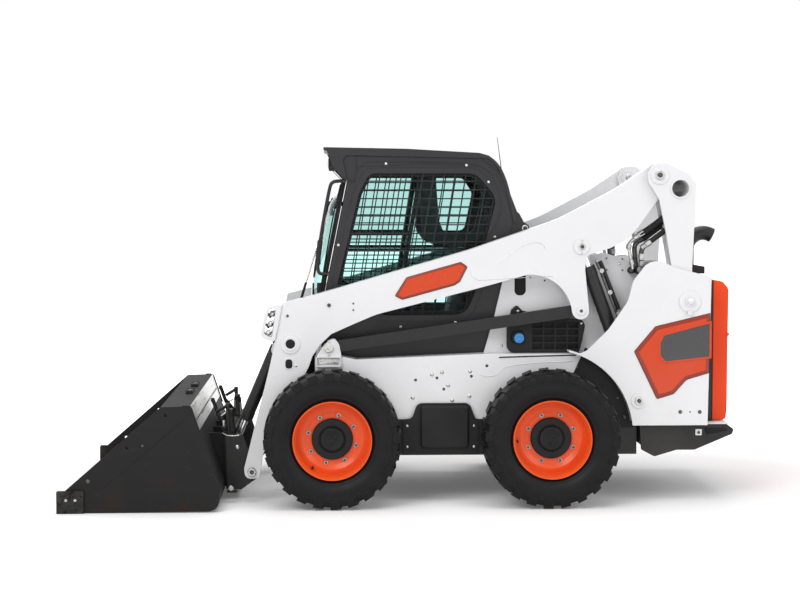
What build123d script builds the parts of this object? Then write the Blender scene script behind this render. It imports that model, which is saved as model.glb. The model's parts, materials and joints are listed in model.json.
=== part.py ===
from build123d import *

from math import atan2, degrees, hypot
import os

# Skid steer loader with vertical-lift arms, a quick coupler and a smooth bucket.
# Millimetres, +Z up. The machine faces -X, its left side is -Y. While it is modelled, x = 0 is the
# rear axle; every piece is moved at the end so that the origin is under the middle of the machine.

# ---- driving dimensions ----
wheelbase = 1275.0
tyre_radius = 400.0
tyre_width = 300.0
rim_radius = 229.0
bucket_width = 1880.0
bucket_plate = 8.0
cab_half_width = 440.0
cab_wall = 40.0
plate = 14.0  # link and upright side plates
arm_plate = 12.0
arm_width = 100.0
side_gap = 6.0  # between plates that pass each other
pin_clearance = 0.05  # radial, at a turning pin
ground_gap = 2.0  # under the parked bucket
seat_gap = 0.3  # between pieces that rest on each other

# ---- stations along the machine ----
rear_x = 0.0
front_x = rear_x - wheelbase
axle_z = tyre_radius
tub_front_x = front_x - 102.0
tub_bottom_z = 272.0
tub_waist_z = 487.0
tub_top_z = 862.0
panel_rear_x = rear_x + 949.0
tail_x = rear_x + 1114.0

# ---- planes across the machine, from the cab outwards ----
panel_inner_y = cab_half_width + side_gap
link_inner_y = panel_inner_y + plate + side_gap
arm_inner_y = link_inner_y + plate + side_gap - 1.0
arm_outer_y = arm_inner_y + arm_width
tyre_inner_y = arm_outer_y + 15.0
tyre_outer_y = tyre_inner_y + tyre_width
link_outer_y = tyre_inner_y  # inner face of the rear link's outer plate
link_outer_plate = 20.0
panel_outer_y = link_outer_y + link_outer_plate + side_gap
panel_face_y = panel_outer_y + plate
arm_mid_y = (arm_inner_y + arm_outer_y) / 2
tub_side_y = cab_half_width + 120.0
cab_floor_z = 600.0
coupler_half = arm_inner_y - 7.0
bucket_half = bucket_width / 2

# ---- pivots of the loader linkage, as (x, z) ----
pivot_a = (rear_x + 837.0, 1190.0)  # rear link on the upright
pivot_b = (rear_x + 655.0, 1933.0)  # rear link on the lift arm
pivot_c = (rear_x + 200.0, 1132.0)  # control link on the lift arm
pivot_d = (front_x - 20.0, 914.0)  # control link on the tub
pivot_e = (rear_x + 538.0, 601.0)  # lift cylinder on the upright
pivot_f = (rear_x + 200.0, 1512.0)  # lift cylinder on the arm
pivot_p = (front_x - 476.0, 180.0)  # coupler on the arm
pivot_t = (front_x - 346.0, 880.0)  # tilt cylinder on the torque tube
pivot_g = (front_x - 576.0, 340.0)  # tilt cylinder on the coupler
torque_tube = (front_x - 246.0, 939.0)
torque_tube_r = 57.0
cross_tube = (rear_x + 779.0, 1854.0)
cross_tube_r = 60.0
cross_tube_bore_r = 50.0
arm_rear_x = cross_tube[0] - cross_tube_r - 3.0
link_pin_r = 30.0
link_eye_r = 67.0
control_pin_r = 22.0
control_eye_r = 36.0
coupler_pin_r = 25.0
cylinder_pin_r = 22.0
tilt_cylinder_y = 300.0
control_link_width = 50.0


def outline_wire(corners, y):
    """A closed outline of (x, z, corner radius) rows in the plane across the machine at y."""
    points = [(x, y, z) for x, z, _ in corners]
    return FilletPolyline(*points, radius=[r for _, _, r in corners], close=True)


def side_plate(corners, y_low, y_high):
    """A plate with a side outline of (x, z, corner radius) rows, from y_low to y_high."""
    face = make_face(outline_wire(corners, y_low).edges())
    return extrude(face, amount=y_high - y_low, dir=(0, 1, 0))


def disc(centre, radius, y_low, y_high):
    """A cylinder across the machine, round an (x, z) centre."""
    middle = (centre[0], (y_low + y_high) / 2, centre[1])
    return Pos(*middle) * Rot(90, 0, 0) * Cylinder(radius, abs(y_high - y_low))


def block(x_low, x_high, y_low, y_high, z_low, z_high):
    """A box between two corners."""
    centre = ((x_low + x_high) / 2, (y_low + y_high) / 2, (z_low + z_high) / 2)
    return Pos(*centre) * Box(abs(x_high - x_low), abs(y_high - y_low), abs(z_high - z_low))


def left(solid):
    """The same piece on the machine's left side."""
    return mirror(solid, about=Plane.XZ)


def both(solid):
    """The piece and its mirror image."""
    return [solid, left(solid)]


def fuse(*pieces):
    """One solid from several pieces."""
    flat = [p for piece in pieces for p in (piece if isinstance(piece, list) else [piece])]
    result = flat[0]
    for piece in flat[1:]:
        result = result + piece
    return result


# ---- tub, belly and axles ----
def main_frame():
    skin = 12.0
    inner_y = panel_inner_y
    case_end_x = rear_x + 330
    rail_z = tub_top_z + 12
    top_line = [
        (tub_front_x, tub_top_z, 6),
        (front_x + 50, tub_top_z, 6),
        (front_x + 145, tub_top_z - 19, 60),
        (front_x + 887, rail_z, 0),
    ]
    side = side_plate(
        [(tub_front_x, tub_waist_z, 0), *top_line, (case_end_x, rail_z, 0), (case_end_x, tub_waist_z, 0)],
        tub_side_y - skin,
        tub_side_y,
    )
    inner = side_plate(
        [
            (tub_front_x, tub_waist_z, 0),
            *top_line,
            (panel_rear_x, rail_z, 0),
            (panel_rear_x, tub_waist_z, 0),
        ],
        inner_y,
        inner_y + skin,
    )
    top_rail = side_plate(
        [
            (front_x + 147, tub_top_z - 19 - skin, 0),
            (front_x + 147, tub_top_z - 19, 0),
            (front_x + 887, rail_z, 0),
            (case_end_x, rail_z, 0),
            (case_end_x, rail_z - skin, 0),
            (front_x + 887, rail_z - skin, 0),
        ],
        inner_y,
        tub_side_y,
    )
    case_end = block(case_end_x - skin, case_end_x, inner_y, tub_side_y, tub_waist_z, rail_z)
    front_rail = block(tub_front_x, front_x + 50, inner_y, tub_side_y, tub_top_z - 53, tub_top_z)
    front_end = block(tub_front_x, tub_front_x + skin, 0, tub_side_y, tub_waist_z, tub_top_z - 62)
    firewall = block(rear_x + 30, rear_x + 30 + skin, 0, inner_y + 5, tub_waist_z, tub_top_z)
    tail_plate = block(panel_rear_x - skin, panel_rear_x, 0, inner_y + 5, tub_waist_z, rail_z)
    rests = [
        block(x, x + 110, cab_half_width - cab_wall + 5, inner_y + 5, cab_floor_z - 30, cab_floor_z - seat_gap)
        for x in (front_x + 40, front_x + 760)
    ]
    half = fuse(side, inner, top_rail, case_end, front_rail, front_end, firewall, tail_plate, rests)
    # rows of (x behind the front axle, z)
    bolt_holes = [
        (494, 720), (591, 754), (651, 766), (621, 732), (688, 689), (662, 665),
        (477, 616), (712, 600), (815, 623), (818, 772), (826, 741), (918, 803),
    ]
    for dx, z in bolt_holes:
        half -= disc((front_x + dx, z), 9, tub_side_y - 2 * skin, tub_side_y + 5)
    return half + left(half)


def chain_cases():
    outline = [
        (tub_front_x, tub_bottom_z + 90, 60),
        (tub_front_x, tub_waist_z, 0),
        (rear_x + 540, tub_waist_z, 0),
        (rear_x + 540, tub_bottom_z, 0),
        (tub_front_x + 120, tub_bottom_z, 60),
    ]
    skin = 12.0
    case = side_plate(outline, cab_half_width, tub_side_y)
    hollow = block(tub_front_x + 140, rear_x + 520, cab_half_width + skin, tub_side_y - skin,
                   tub_bottom_z + skin, tub_waist_z - skin)
    floor = block(tub_front_x + 120, rear_x + 540, 0, cab_half_width + 5, tub_bottom_z,
                  tub_bottom_z + skin)
    nose = block(tub_front_x + 12, tub_front_x + 24, 0, cab_half_width + 5,
                 tub_bottom_z + 90, tub_waist_z)
    lip = block(tub_front_x + 12, tub_front_x + 140, 0, cab_half_width + 5,
                tub_bottom_z + 80, tub_bottom_z + 92)
    slope = block(tub_front_x + 120, tub_front_x + 132, 0, cab_half_width + 5, tub_bottom_z,
                  tub_bottom_z + 92)
    half = fuse(case - hollow, floor, nose, lip, slope)
    return half + left(half)


axle_tube_r = 70.0
axle_flange_r = 110.0
hub_inner_y = (tyre_inner_y + tyre_outer_y) / 2 - 30.0
axle_tube_end_y = hub_inner_y - seat_gap


def axle_housings():
    pieces = []
    for x in (front_x, rear_x):
        centre = (x, axle_z)
        tube = disc(centre, axle_tube_r, tub_side_y, axle_tube_end_y)
        flange = disc(centre, axle_flange_r, tub_side_y, tub_side_y + 18)
        housing = tube + flange
        pieces += both(housing)
    return pieces


def engine_block():
    floor_z = tub_bottom_z + 12
    block_z = floor_z + 200
    sump = block(rear_x + 370, rear_x + 520, -150, 150, floor_z + seat_gap, block_z)
    return block(rear_x + 330, rear_x + 800, -220, 220, block_z, 1010) + sump


def side_covers():
    outline = [
        (front_x + 419, 276, 6),
        (front_x + 419, tub_waist_z, 0),
        (front_x + 472, tub_waist_z + 4, 30),
        (front_x + 505, 583, 40),
        (front_x + 814, 583, 40),
        (front_x + 850, tub_waist_z, 30),
        (rear_x - 410, tub_waist_z - 4, 0),
        (rear_x - 410, 276, 6),
    ]
    face_y = tub_side_y + 20.0
    cover = side_plate(outline, tub_side_y, face_y)
    bulge = side_plate(
        [
            (front_x + 523, 317, 25),
            (front_x + 523, 569, 25),
            (front_x + 808, 569, 25),
            (front_x + 808, 317, 25),
        ],
        face_y,
        face_y + 20,
    )
    bulge = chamfer(bulge.faces().sort_by(Axis.Y)[-1].edges(), 8)
    hollow = block(front_x + 540, front_x + 790, tub_side_y, face_y + 14, 335, 550)
    return both(cover + bulge - hollow)


# ---- rear uprights ----
wheel_arch_r = 505.0
panel_lean = 16.0
panel_top_rear_z = 1332.0


def upright():
    """The right-hand upright: two plates that hold the rear link and the lift cylinder."""
    hump = [
        (rear_x + 164, 874, 0),
        (rear_x + 225, 896, 60),
        (rear_x + 355, 1023, 200),
        (rear_x + 470, 1190, 150),
        (rear_x + 500, 1310, 120),
        (rear_x + 590, 1425, 90),
        (rear_x + 668, 1425, 60),
        (rear_x + 740, 1392, 60),
        (panel_rear_x + panel_lean, panel_top_rear_z, 0),
        (panel_rear_x, 453, 0),
        (rear_x + 400, 453, 0),
        (rear_x + 100, 700, 0),
    ]
    arch = disc((rear_x, axle_z), wheel_arch_r, cab_half_width - 40, panel_face_y + 60)
    outer = side_plate(hump, panel_outer_y, panel_face_y) - arch
    inner_outline = [
        (front_x + 907, tub_top_z + 12, 0),
        (front_x + 972, 1099, 20),
        (front_x + 1030, 1350, 10),
        (rear_x + 120, 1350, 20),
        (rear_x + 262, 1452, 20),
        (rear_x + 352, 1474, 20),
        (rear_x + 500, 1420, 60),
        (rear_x + 590, 1425, 90),
        (rear_x + 668, 1425, 60),
        (rear_x + 740, 1392, 60),
        (panel_rear_x + panel_lean, panel_top_rear_z, 0),
        (panel_rear_x, tub_top_z + 12, 0),
    ]
    inner = side_plate(inner_outline, panel_inner_y, panel_inner_y + plate)
    slot = side_plate(
        [
            (front_x + 1091, 1216, 30),
            (front_x + 1091, 1380, 0),
            (front_x + 1159, 1380, 0),
            (front_x + 1159, 1216, 30),
        ],
        panel_inner_y - 5,
        panel_inner_y + plate + 5,
    )
    rear_web = block(panel_rear_x - 12, panel_rear_x, panel_inner_y, panel_face_y, tub_top_z + 12, 1320)
    low_web = block(panel_rear_x - 12, panel_rear_x, panel_inner_y + 12, panel_face_y, 453, tub_top_z + 12)
    guard_rim = disc((rear_x, axle_z), wheel_arch_r + 10, tub_side_y, panel_face_y) - arch
    guard_low_y, guard_high_y = tub_side_y - 60, panel_face_y + 60
    guard_rim &= block(rear_x - 5, rear_x + 600, guard_low_y, guard_high_y, 478, 1000)
    guard_rim -= block(rear_x - 10, rear_x + 120, guard_low_y, guard_high_y, 800, 1000)
    pin_a = disc(pivot_a, link_pin_r, panel_inner_y, panel_face_y + 14)
    boss_a = disc(pivot_a, 64, panel_face_y, panel_face_y + 8)
    pin_e = disc(pivot_e, cylinder_pin_r, panel_inner_y + 12, panel_face_y + 10)
    boss_e = disc(pivot_e, 45, panel_face_y, panel_face_y + 6)
    return fuse(outer, inner - slot, rear_web, low_web, guard_rim, pin_a, boss_a, pin_e, boss_e)


def link_bracket():
    """The right-hand ears that carry the front of the control link."""
    x, z = pivot_d
    half_gap = control_link_width / 2 + 4.0
    ear_plate = 12.0
    outline = [
        (x - 72, tub_top_z, 0),
        (x - 70, z - 44, 0),
        (x - 34, z + 10, 30),
        (x - 2, z + 42, 30),
        (x + 34, z + 58, 25),
        (x + 62, z + 20, 50),
        (x + 75, tub_top_z, 0),
    ]
    ear = side_plate(outline, arm_mid_y - half_gap - ear_plate, arm_mid_y + half_gap + ear_plate)
    gap = block(x - 100, x + 100, arm_mid_y - half_gap, arm_mid_y + half_gap, tub_top_z - 1, z + 100)
    pin = disc(pivot_d, control_pin_r, arm_mid_y - half_gap, arm_mid_y + half_gap)
    head = disc(pivot_d, 28, arm_mid_y + half_gap + ear_plate, arm_mid_y + half_gap + ear_plate + 8)
    return (ear - gap) + pin + head


# ---- hood, cooling and exhaust ----
cooler_cap = (rear_x - 169.0, 971.0)
cooler_cap_r = 32.0
grille_depth = 40.0
grille_wall = 8.0


def intake_grille():
    """Grille housing on the inner plate, with a cap beside its barred window."""
    y_low = panel_inner_y + plate
    y_high = y_low + grille_depth
    floor_z = tub_top_z + 12 + seat_gap
    outline = [
        (rear_x - 232, floor_z, 45),
        (rear_x + 200, floor_z, 25),
        (rear_x + 219, 945, 40),
        (rear_x + 236, 1041, 20),
        (rear_x + 215, 1073, 14),
        (rear_x + 30, 1090, 60),
        (rear_x - 139, 1126, 20),
        (rear_x - 173, 1160, 14),
        (rear_x - 205, 1130, 12),
        (rear_x - 230, 1020, 30),
    ]
    housing = side_plate(outline, y_low, y_high)
    housing -= block(rear_x - 85, rear_x + 200, y_low + 6, y_high - grille_wall, 893, 1062)
    for column in range(4):
        for row in range(4):
            x = rear_x - 80.0 + 71.0 * column
            z = 897.0 + 42.0 * row
            housing -= block(x, x + 62, y_high - grille_wall - 2, y_high + 5, z, z + 34)
    housing -= disc(cooler_cap, cooler_cap_r + 12, y_high - 14, y_high + 5)
    cap = disc(cooler_cap, cooler_cap_r, y_high - 16, y_high + 3)
    return housing + cap


hood_top_z = 1330.0


def engine_hood():
    skin = 10.0
    outline = [
        (rear_x + 20, tub_top_z + 12, 0),
        (rear_x - 40, 1250, 60),
        (rear_x + 300, hood_top_z, 200),
        (rear_x + 900, hood_top_z, 30),
        (panel_rear_x, 1300, 0),
        (panel_rear_x, tub_top_z + 12, 0),
    ]
    shell = side_plate(outline, -cab_half_width + 4, cab_half_width - 4)
    inside = side_plate(
        [
            (rear_x + 40, tub_top_z, 0),
            (rear_x - 20, 1240, 50),
            (rear_x + 302, hood_top_z - skin, 200),
            (rear_x + 890, hood_top_z - skin, 20),
            (panel_rear_x + 10, 1280, 0),
            (panel_rear_x + 10, tub_top_z, 0),
        ],
        -cab_half_width + 4 + skin,
        cab_half_width - 4 - skin,
    )
    return shell - inside


def rear_bumper():
    outline = [
        (rear_x + 552, 437, 0),
        (rear_x + 562, 303, 10),
        (rear_x + 640, 262, 20),
        (rear_x + 773, 301, 20),
        (rear_x + 880, 301, 10),
        (tail_x - 8, 395, 16),
        (tail_x, 424, 12),
        (tail_x - 40, 453, 6),
        (rear_x + 552, 453, 0),
    ]
    solid = side_plate(outline, -600, 600)
    inside = block(rear_x + 560, tail_x - 110, -585, 585, 250, 438)
    return solid - inside


exhaust_r = 44.0
exhaust_wall = 6.0


def exhaust_pipe():
    foot_z = hood_top_z + seat_gap
    start = (rear_x + 945, 0, foot_z)
    corner = (rear_x + 945, 0, 1636)
    mouth = (rear_x + 1100, 0, 1566)
    path = FilletPolyline(start, corner, mouth, radius=[100])
    base = Plane(origin=start, z_dir=(0, 0, 1))
    pipe = sweep(base * Circle(exhaust_r), path=path)
    pipe -= sweep(base * Circle(exhaust_r - exhaust_wall), path=path)
    deck_outline = [
        (rear_x + 820, foot_z, 0),
        (rear_x + 820, foot_z + 12, 0),
        (rear_x + 930, foot_z + 62, 0),
        (rear_x + 1036, foot_z + 44, 8),
        (rear_x + 1036, foot_z, 0),
    ]
    deck = side_plate(deck_outline, -110, 110)
    deck -= side_plate(
        [
            (rear_x + 840, foot_z - 1, 0),
            (rear_x + 935, foot_z + 54, 0),
            (rear_x + 1028, foot_z + 38, 0),
            (rear_x + 1028, foot_z - 1, 0),
        ],
        -102,
        102,
    )
    deck -= base * Cylinder(exhaust_r - 1, 200)
    return pipe + deck


# ---- cab ----
def cab_side_outline(inset=0.0):
    """Side outline of the cab, inset by the wall where asked."""
    i = inset
    return [
        (front_x - 65 + i, cab_floor_z + i, 10),
        (front_x - 65 + i, 1030, 30),
        (front_x - 37 + i, 1250, 60),
        (front_x + 93 + i, 1895, 60),
        (front_x + 60 + i, 2052 - i, 30),
        (front_x + 950 - i, 2034 - i, 60),
        (front_x + 1040 - i, 1890 - i / 2, 200),
        (front_x + 1113 - i, 1700, 60),
        (front_x + 1130 - i, 1627, 30),
        (front_x + 1014 - i, 1248, 60),
        (front_x + 907 - i, 870, 30),
        (front_x + 907 - i, cab_floor_z + i, 10),
    ]


side_window = [
    (front_x + 30, 1275, 30),
    (front_x + 162, 1826, 120),
    (front_x + 225, 1945, 60),
    (front_x + 860, 1945, 110),
    (front_x + 985, 1800, 110),
    (front_x + 935, 1600, 60),
    (front_x + 860, 1245, 60),
    (front_x + 800, 1098, 110),
    (front_x + 306, 1098, 60),
]
cab_roof_z = 2052.0
door_half_width = 385.0
door_low_z = 1030.0
door_high_z = 1895.0


def cab_shell():
    outer = side_plate(cab_side_outline(), -cab_half_width, cab_half_width)
    inner = side_plate(cab_side_outline(cab_wall), -cab_half_width + cab_wall, cab_half_width - cab_wall)
    shell = outer - inner
    shell -= side_plate(side_window, -cab_half_width - 5, cab_half_width + 5)
    doorway = block(front_x - 120, front_x + 250, -door_half_width + 5, door_half_width - 5,
                    door_low_z + 5, door_high_z - 10)
    shell -= doorway
    rear_light = block(front_x + 950, front_x + 1250, -330, 330, 1350, 1800)
    pivot_ear = side_plate(
        [
            (front_x + 1080, 1740, 0),
            (front_x + 1120, 1706, 20),
            (front_x + 1148, 1655, 12),
            (front_x + 1184, 1632, 16),
            (front_x + 1166, 1590, 20),
            (front_x + 1080, 1590, 0),
        ],
        cab_half_width - cab_wall / 2,
        cab_half_width,
    )
    pivot_ear -= disc((front_x + 1155, 1618), 12, 0, cab_half_width + 5)
    return fuse(shell - rear_light, door_hinge_cab_half(), both(pivot_ear))


def cab_roof():
    outline = [
        (front_x - 50, 2100, 6),
        (front_x - 50, 2085, 6),
        (front_x + 52, cab_roof_z + 2, 30),
        (front_x + 930, 2028, 0),
        (front_x + 968, 2016, 4),
        (front_x + 940, 2050, 30),
        (front_x + 880, 2067, 60),
        (front_x + 445, 2091, 300),
    ]
    cheek_outline = [
        (front_x - 36, 2086, 0),
        (front_x - 12, 2040, 20),
        (front_x + 2, 1990, 40),
        (front_x + 72, 1912, 20),
        (front_x + 150, 1895, 0),
        (front_x + 150, 2060, 0),
    ]
    cheek = side_plate(cheek_outline, cab_half_width - 16, cab_half_width + 10)
    roof = side_plate(outline, -cab_half_width - 10, cab_half_width + 10)
    lower = side_plate(cab_side_outline(), -cab_half_width - 20, cab_half_width + 20)
    return fuse(roof, both(cheek)) - lower


def cab_windows():
    """Side panes and the rear pane, each set in the middle of its wall."""
    glass = 6.0
    y = cab_half_width - cab_wall / 2
    pane = side_plate(side_window, y - glass / 2, y + glass / 2)
    rear = block(-glass / 2, glass / 2, -330, 330, -232, 232)
    lean = degrees(atan2(116.0, 379.0))
    rear = Pos(front_x + 1055, 0, 1438) * Rot(0, lean, 0) * rear
    rear &= block(front_x + 950, front_x + 1250, -330, 330, 1350, 1800)
    return both(pane) + [rear]


def seat():
    base_z = 905.0
    cushion = block(front_x + 340, front_x + 800, -240, 240, base_z, base_z + 110)
    cushion = fillet(cushion.edges(), 30)
    back = Pos(front_x + 800, 0, base_z + 370) * Rot(0, 12, 0) * Box(90, 440, 560)
    back = fillet(back.edges(), 30)
    return cushion + back


def seat_base():
    return block(front_x + 380, front_x + 760, -220, 220, 640, 904.7)


def control_levers():
    pieces = []
    for side in (-1, 1):
        y = side * 300.0
        pod = block(front_x + 330, front_x + 720, y - 45, y + 45, 960, 1040)
        pod = fillet(pod.edges().filter_by(Axis.X), 15)
        stand = block(front_x + 500, front_x + 600, y - 30, y + 30, 640, 960)
        stick = Pos(front_x + 375, y, 1110) * Cylinder(22, 142)
        grip = Pos(front_x + 375, y, 1200) * Sphere(36)
        pieces.append(fuse(pod, stand, stick, grip))
    return pieces


def lap_bar():
    bar_y = cab_half_width - cab_wall - 32.0
    path = FilletPolyline(
        (front_x + 962, -bar_y, 1510),
        (front_x + 380, -bar_y, 1240),
        (front_x + 270, -bar_y + 60, 1210),
        (front_x + 270, bar_y - 60, 1210),
        (front_x + 380, bar_y, 1240),
        (front_x + 962, bar_y, 1510),
        radius=[60, 60, 60, 60],
    )
    start = Plane(origin=path @ 0, z_dir=path % 0)
    bar = sweep(start * Circle(16), path=path)
    stub = [
        block(front_x + 948, front_x + 978, s * bar_y, s * (cab_half_width - cab_wall - seat_gap), 1490, 1525)
        for s in (-1, 1)
    ]
    return fuse(bar, stub)


def antenna():
    """Radio antenna on a bracket at the cab's rear corner, leaning a little forward."""
    bracket = block(front_x + 1080, front_x + 1128, 361, 389, 1742, 1766) - cab_shell()
    holder = Pos(front_x + 1117, 375, 1785) * Cylinder(11, 50)
    rod = Pos(front_x + 1088, 375, 1991.6) * Rot(0, -7.6, 0) * Cone(4, 1.5, 400)
    return bracket + holder + rod


# ---- front door ----
hinge_y = door_half_width + 15.0
hinge_r = 12.0
hinge_pin_r = 6.0
hinge_leaf = 28.0
door_slope = (128.0, 645.0)  # the cab front above the knee, as (x, z)
door_hinge_heights = (1330.0, 1780.0)


def door_hinge_plane(z, rise):
    """Plane on the hinge axis, rise above the joint of the two knuckles at height z."""
    length = hypot(*door_slope)
    ux, uz = door_slope[0] / length, door_slope[1] / length
    x = front_x - 60 + (z - 1250) * door_slope[0] / door_slope[1]
    return Plane(origin=(x + ux * rise, hinge_y, z + uz * rise), z_dir=(ux, 0, uz), x_dir=(uz, 0, -ux))


def door_hinge_cab_half():
    """Lower knuckles with their pins, carried by the front of the cab."""
    pieces = []
    for z in door_hinge_heights:
        middle = -seat_gap / 2 - hinge_leaf / 2
        plane = door_hinge_plane(z, middle)
        pieces.append(plane * Cylinder(hinge_r, hinge_leaf))
        pieces.append(plane * Pos(20, 0, 0) * Box(40, 16, hinge_leaf))
        pieces.append(door_hinge_plane(z, middle + hinge_leaf / 2) * Cylinder(hinge_pin_r, hinge_leaf * 2))
    return pieces


def door_hinge_door_half():
    """Upper knuckles, bored for the pins."""
    knuckles = []
    for z in door_hinge_heights:
        plane = door_hinge_plane(z, seat_gap / 2 + hinge_leaf / 2)
        knuckle = plane * Cylinder(hinge_r, hinge_leaf) + plane * Pos(0, -12, 0) * Box(16, 24, hinge_leaf)
        knuckles.append(knuckle - plane * Cylinder(hinge_pin_r + pin_clearance, hinge_leaf + 4))
    return knuckles


def door_frame():
    strip = [
        (front_x - 72, door_low_z, 0),
        (front_x - 43, 1250, 0),
        (front_x + 85, door_high_z, 0),
        (front_x + 57, door_high_z, 0),
        (front_x - 71, 1250, 0),
        (front_x - 100, door_low_z, 0),
    ]
    frame = side_plate(strip, -door_half_width, door_half_width)
    opening = block(front_x - 200, front_x + 200, -door_half_width + 45, door_half_width - 45,
                    door_low_z + 60, door_high_z - 55)
    return fuse(frame - opening, door_hinge_door_half())


def door_glass():
    pane = side_plate(
        [
            (front_x - 90, door_low_z, 0),
            (front_x - 61, 1250, 0),
            (front_x + 67, door_high_z, 0),
            (front_x + 73, door_high_z, 0),
            (front_x - 55, 1250, 0),
            (front_x - 84, door_low_z, 0),
        ],
        -door_half_width + 45,
        door_half_width - 45,
    )
    return pane & block(front_x - 200, front_x + 200, -door_half_width, door_half_width,
                        door_low_z + 60, door_high_z - 55)


# ---- tailgate ----
tailgate_half = cab_half_width + 60.0
tailgate_x = rear_x + 1007.0
tailgate_hinge = (tailgate_x + 6.0, tailgate_half + 14.0)  # as (x, y)
tailgate_hinge_r = 10.0
tailgate_pin_r = 6.0
tailgate_hinge_heights = (600.0, 1180.0)


def upright_cylinder(centre, radius, z_low, z_high):
    return Pos(centre[0], centre[1], (z_low + z_high) / 2) * Cylinder(radius, z_high - z_low)


def tailgate():
    outline = [
        (tailgate_x, 467, 0),
        (tailgate_x, 1308, 0),
        (rear_x + 1060, 1300, 30),
        (rear_x + 1098, 1258, 45),
        (rear_x + 1090, 467, 25),
    ]
    shell = side_plate(outline, -tailgate_half, tailgate_half)
    hollow = block(tailgate_x - 5, rear_x + 1062, -tailgate_half + 25, tailgate_half - 25, 495, 1262)
    shell -= hollow
    for row in range(6):
        z = 1010.0 + 34.0 * row
        shell -= block(rear_x + 1050, rear_x + 1110, -300, 300, z, z + 16)
    x, y = tailgate_hinge
    for z in tailgate_hinge_heights:
        leaf = block(x - 6, x + 8, tailgate_half - 5, y, z + seat_gap, z + 40)
        leaf += upright_cylinder(tailgate_hinge, tailgate_hinge_r, z + seat_gap, z + 40)
        leaf -= upright_cylinder(tailgate_hinge, tailgate_pin_r + pin_clearance, z - 5, z + 45)
        shell += leaf
    return shell


def tail_lights():
    lamp = block(rear_x + 1080, rear_x + 1104, 395, 465, 1120, 1220)
    return both(lamp - tailgate())


def tail_frame():
    """The dark frame between the uprights and the tailgate, with the radiator opening."""
    outline = [
        (panel_rear_x, 453, 0),
        (panel_rear_x + panel_lean * 0.97, 1306, 0),
        (tailgate_x - 6, 1306, 0),
        (tailgate_x - 6, 453, 0),
    ]
    ring = side_plate(outline, -tailgate_half - 10, tailgate_half + 10)
    ring -= block(panel_rear_x - 5, tailgate_x, -tailgate_half + 60, tailgate_half - 60, 520, 1240)
    x, y = tailgate_hinge
    for z in tailgate_hinge_heights:
        ring += block(x - 30, x, y - 8, y + 8, z - 40, z)
        ring += upright_cylinder(tailgate_hinge, tailgate_hinge_r, z - 40, z)
        ring += upright_cylinder(tailgate_hinge, tailgate_pin_r, z - 40, z + 38)
    return ring


# ---- loader linkage ----
def control_link():
    half = control_link_width / 2
    (dx, dz), (cx, cz) = pivot_d, pivot_c
    length = hypot(cx - dx, cz - dz)
    ux, uz = (cx - dx) / length, (cz - dz) / length
    bar_half = 35.0

    def along(distance, offset):
        return (dx + ux * distance - uz * offset, dz + uz * distance + ux * offset, 0)

    bar = side_plate(
        [
            along(0, -bar_half),
            along(0, bar_half),
            along(length, bar_half),
            along(length, -bar_half),
        ],
        arm_mid_y - half,
        arm_mid_y + half,
    )
    eye_d = disc(pivot_d, control_eye_r, arm_mid_y - half, arm_mid_y + half)
    eye_c = disc(pivot_c, control_eye_r, arm_mid_y - half, arm_mid_y + half)
    bore = disc(pivot_d, control_pin_r + pin_clearance, arm_mid_y - half - 5, arm_mid_y + half + 5)
    return bar + eye_d + eye_c - bore


def rear_link():
    outer_outline = [
        (rear_x + 582, 1935, 60),
        (rear_x + 612, 1998, 60),
        (rear_x + 690, 2002, 60),
        (rear_x + 826, 1935, 70),
        (rear_x + 868, 1880, 40),
        (rear_x + 862, 1607, 300),
        (rear_x + 852, 1370, 0),
        (pivot_a[0] + link_eye_r - 2, pivot_a[1], 0),
        (pivot_a[0] - link_eye_r + 2, pivot_a[1], 0),
        (rear_x + 728, 1404, 100),
        (rear_x + 700, 1570, 300),
        (rear_x + 655, 1790, 100),
        (rear_x + 590, 1890, 60),
    ]
    inner = side_plate(outer_outline, link_inner_y, link_inner_y + plate)
    inner += disc(pivot_a, link_eye_r, link_inner_y, link_inner_y + plate)
    outer = side_plate(outer_outline, link_outer_y, link_outer_y + link_outer_plate)
    outer += disc(pivot_a, link_eye_r, link_outer_y, link_outer_y + link_outer_plate)
    web = side_plate(
        [
            (rear_x + 738, 1404, 0),
            (rear_x + 712, 1560, 0),
            (rear_x + 694, 1640, 0),
            (rear_x + 858, 1640, 0),
            (rear_x + 846, 1370, 0),
            (rear_x + 846, 1300, 0),
            (rear_x + 750, 1300, 0),
        ],
        link_inner_y,
        link_outer_y + link_outer_plate,
    )
    web -= block(rear_x + 755, rear_x + 835, link_inner_y + plate, link_outer_y, 1316, 1624)
    pin_b = disc(pivot_b, link_pin_r, link_inner_y, link_outer_y + link_outer_plate + 12)
    boss_b = disc(pivot_b, 54, link_outer_y, link_outer_y + link_outer_plate + 6)
    link = fuse(inner, outer, web, pin_b, boss_b)
    link -= disc(cross_tube, cross_tube_r, link_inner_y - 5, link_outer_y + link_outer_plate + 5)
    return link - disc(pivot_a, link_pin_r + pin_clearance, link_inner_y - 5, panel_face_y + 20)


def rear_cross_tube():
    half = link_outer_y + link_outer_plate
    tube = disc(cross_tube, cross_tube_r, -half, half)
    return tube - disc(cross_tube, cross_tube_bore_r, -half - 5, half + 5)


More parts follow.
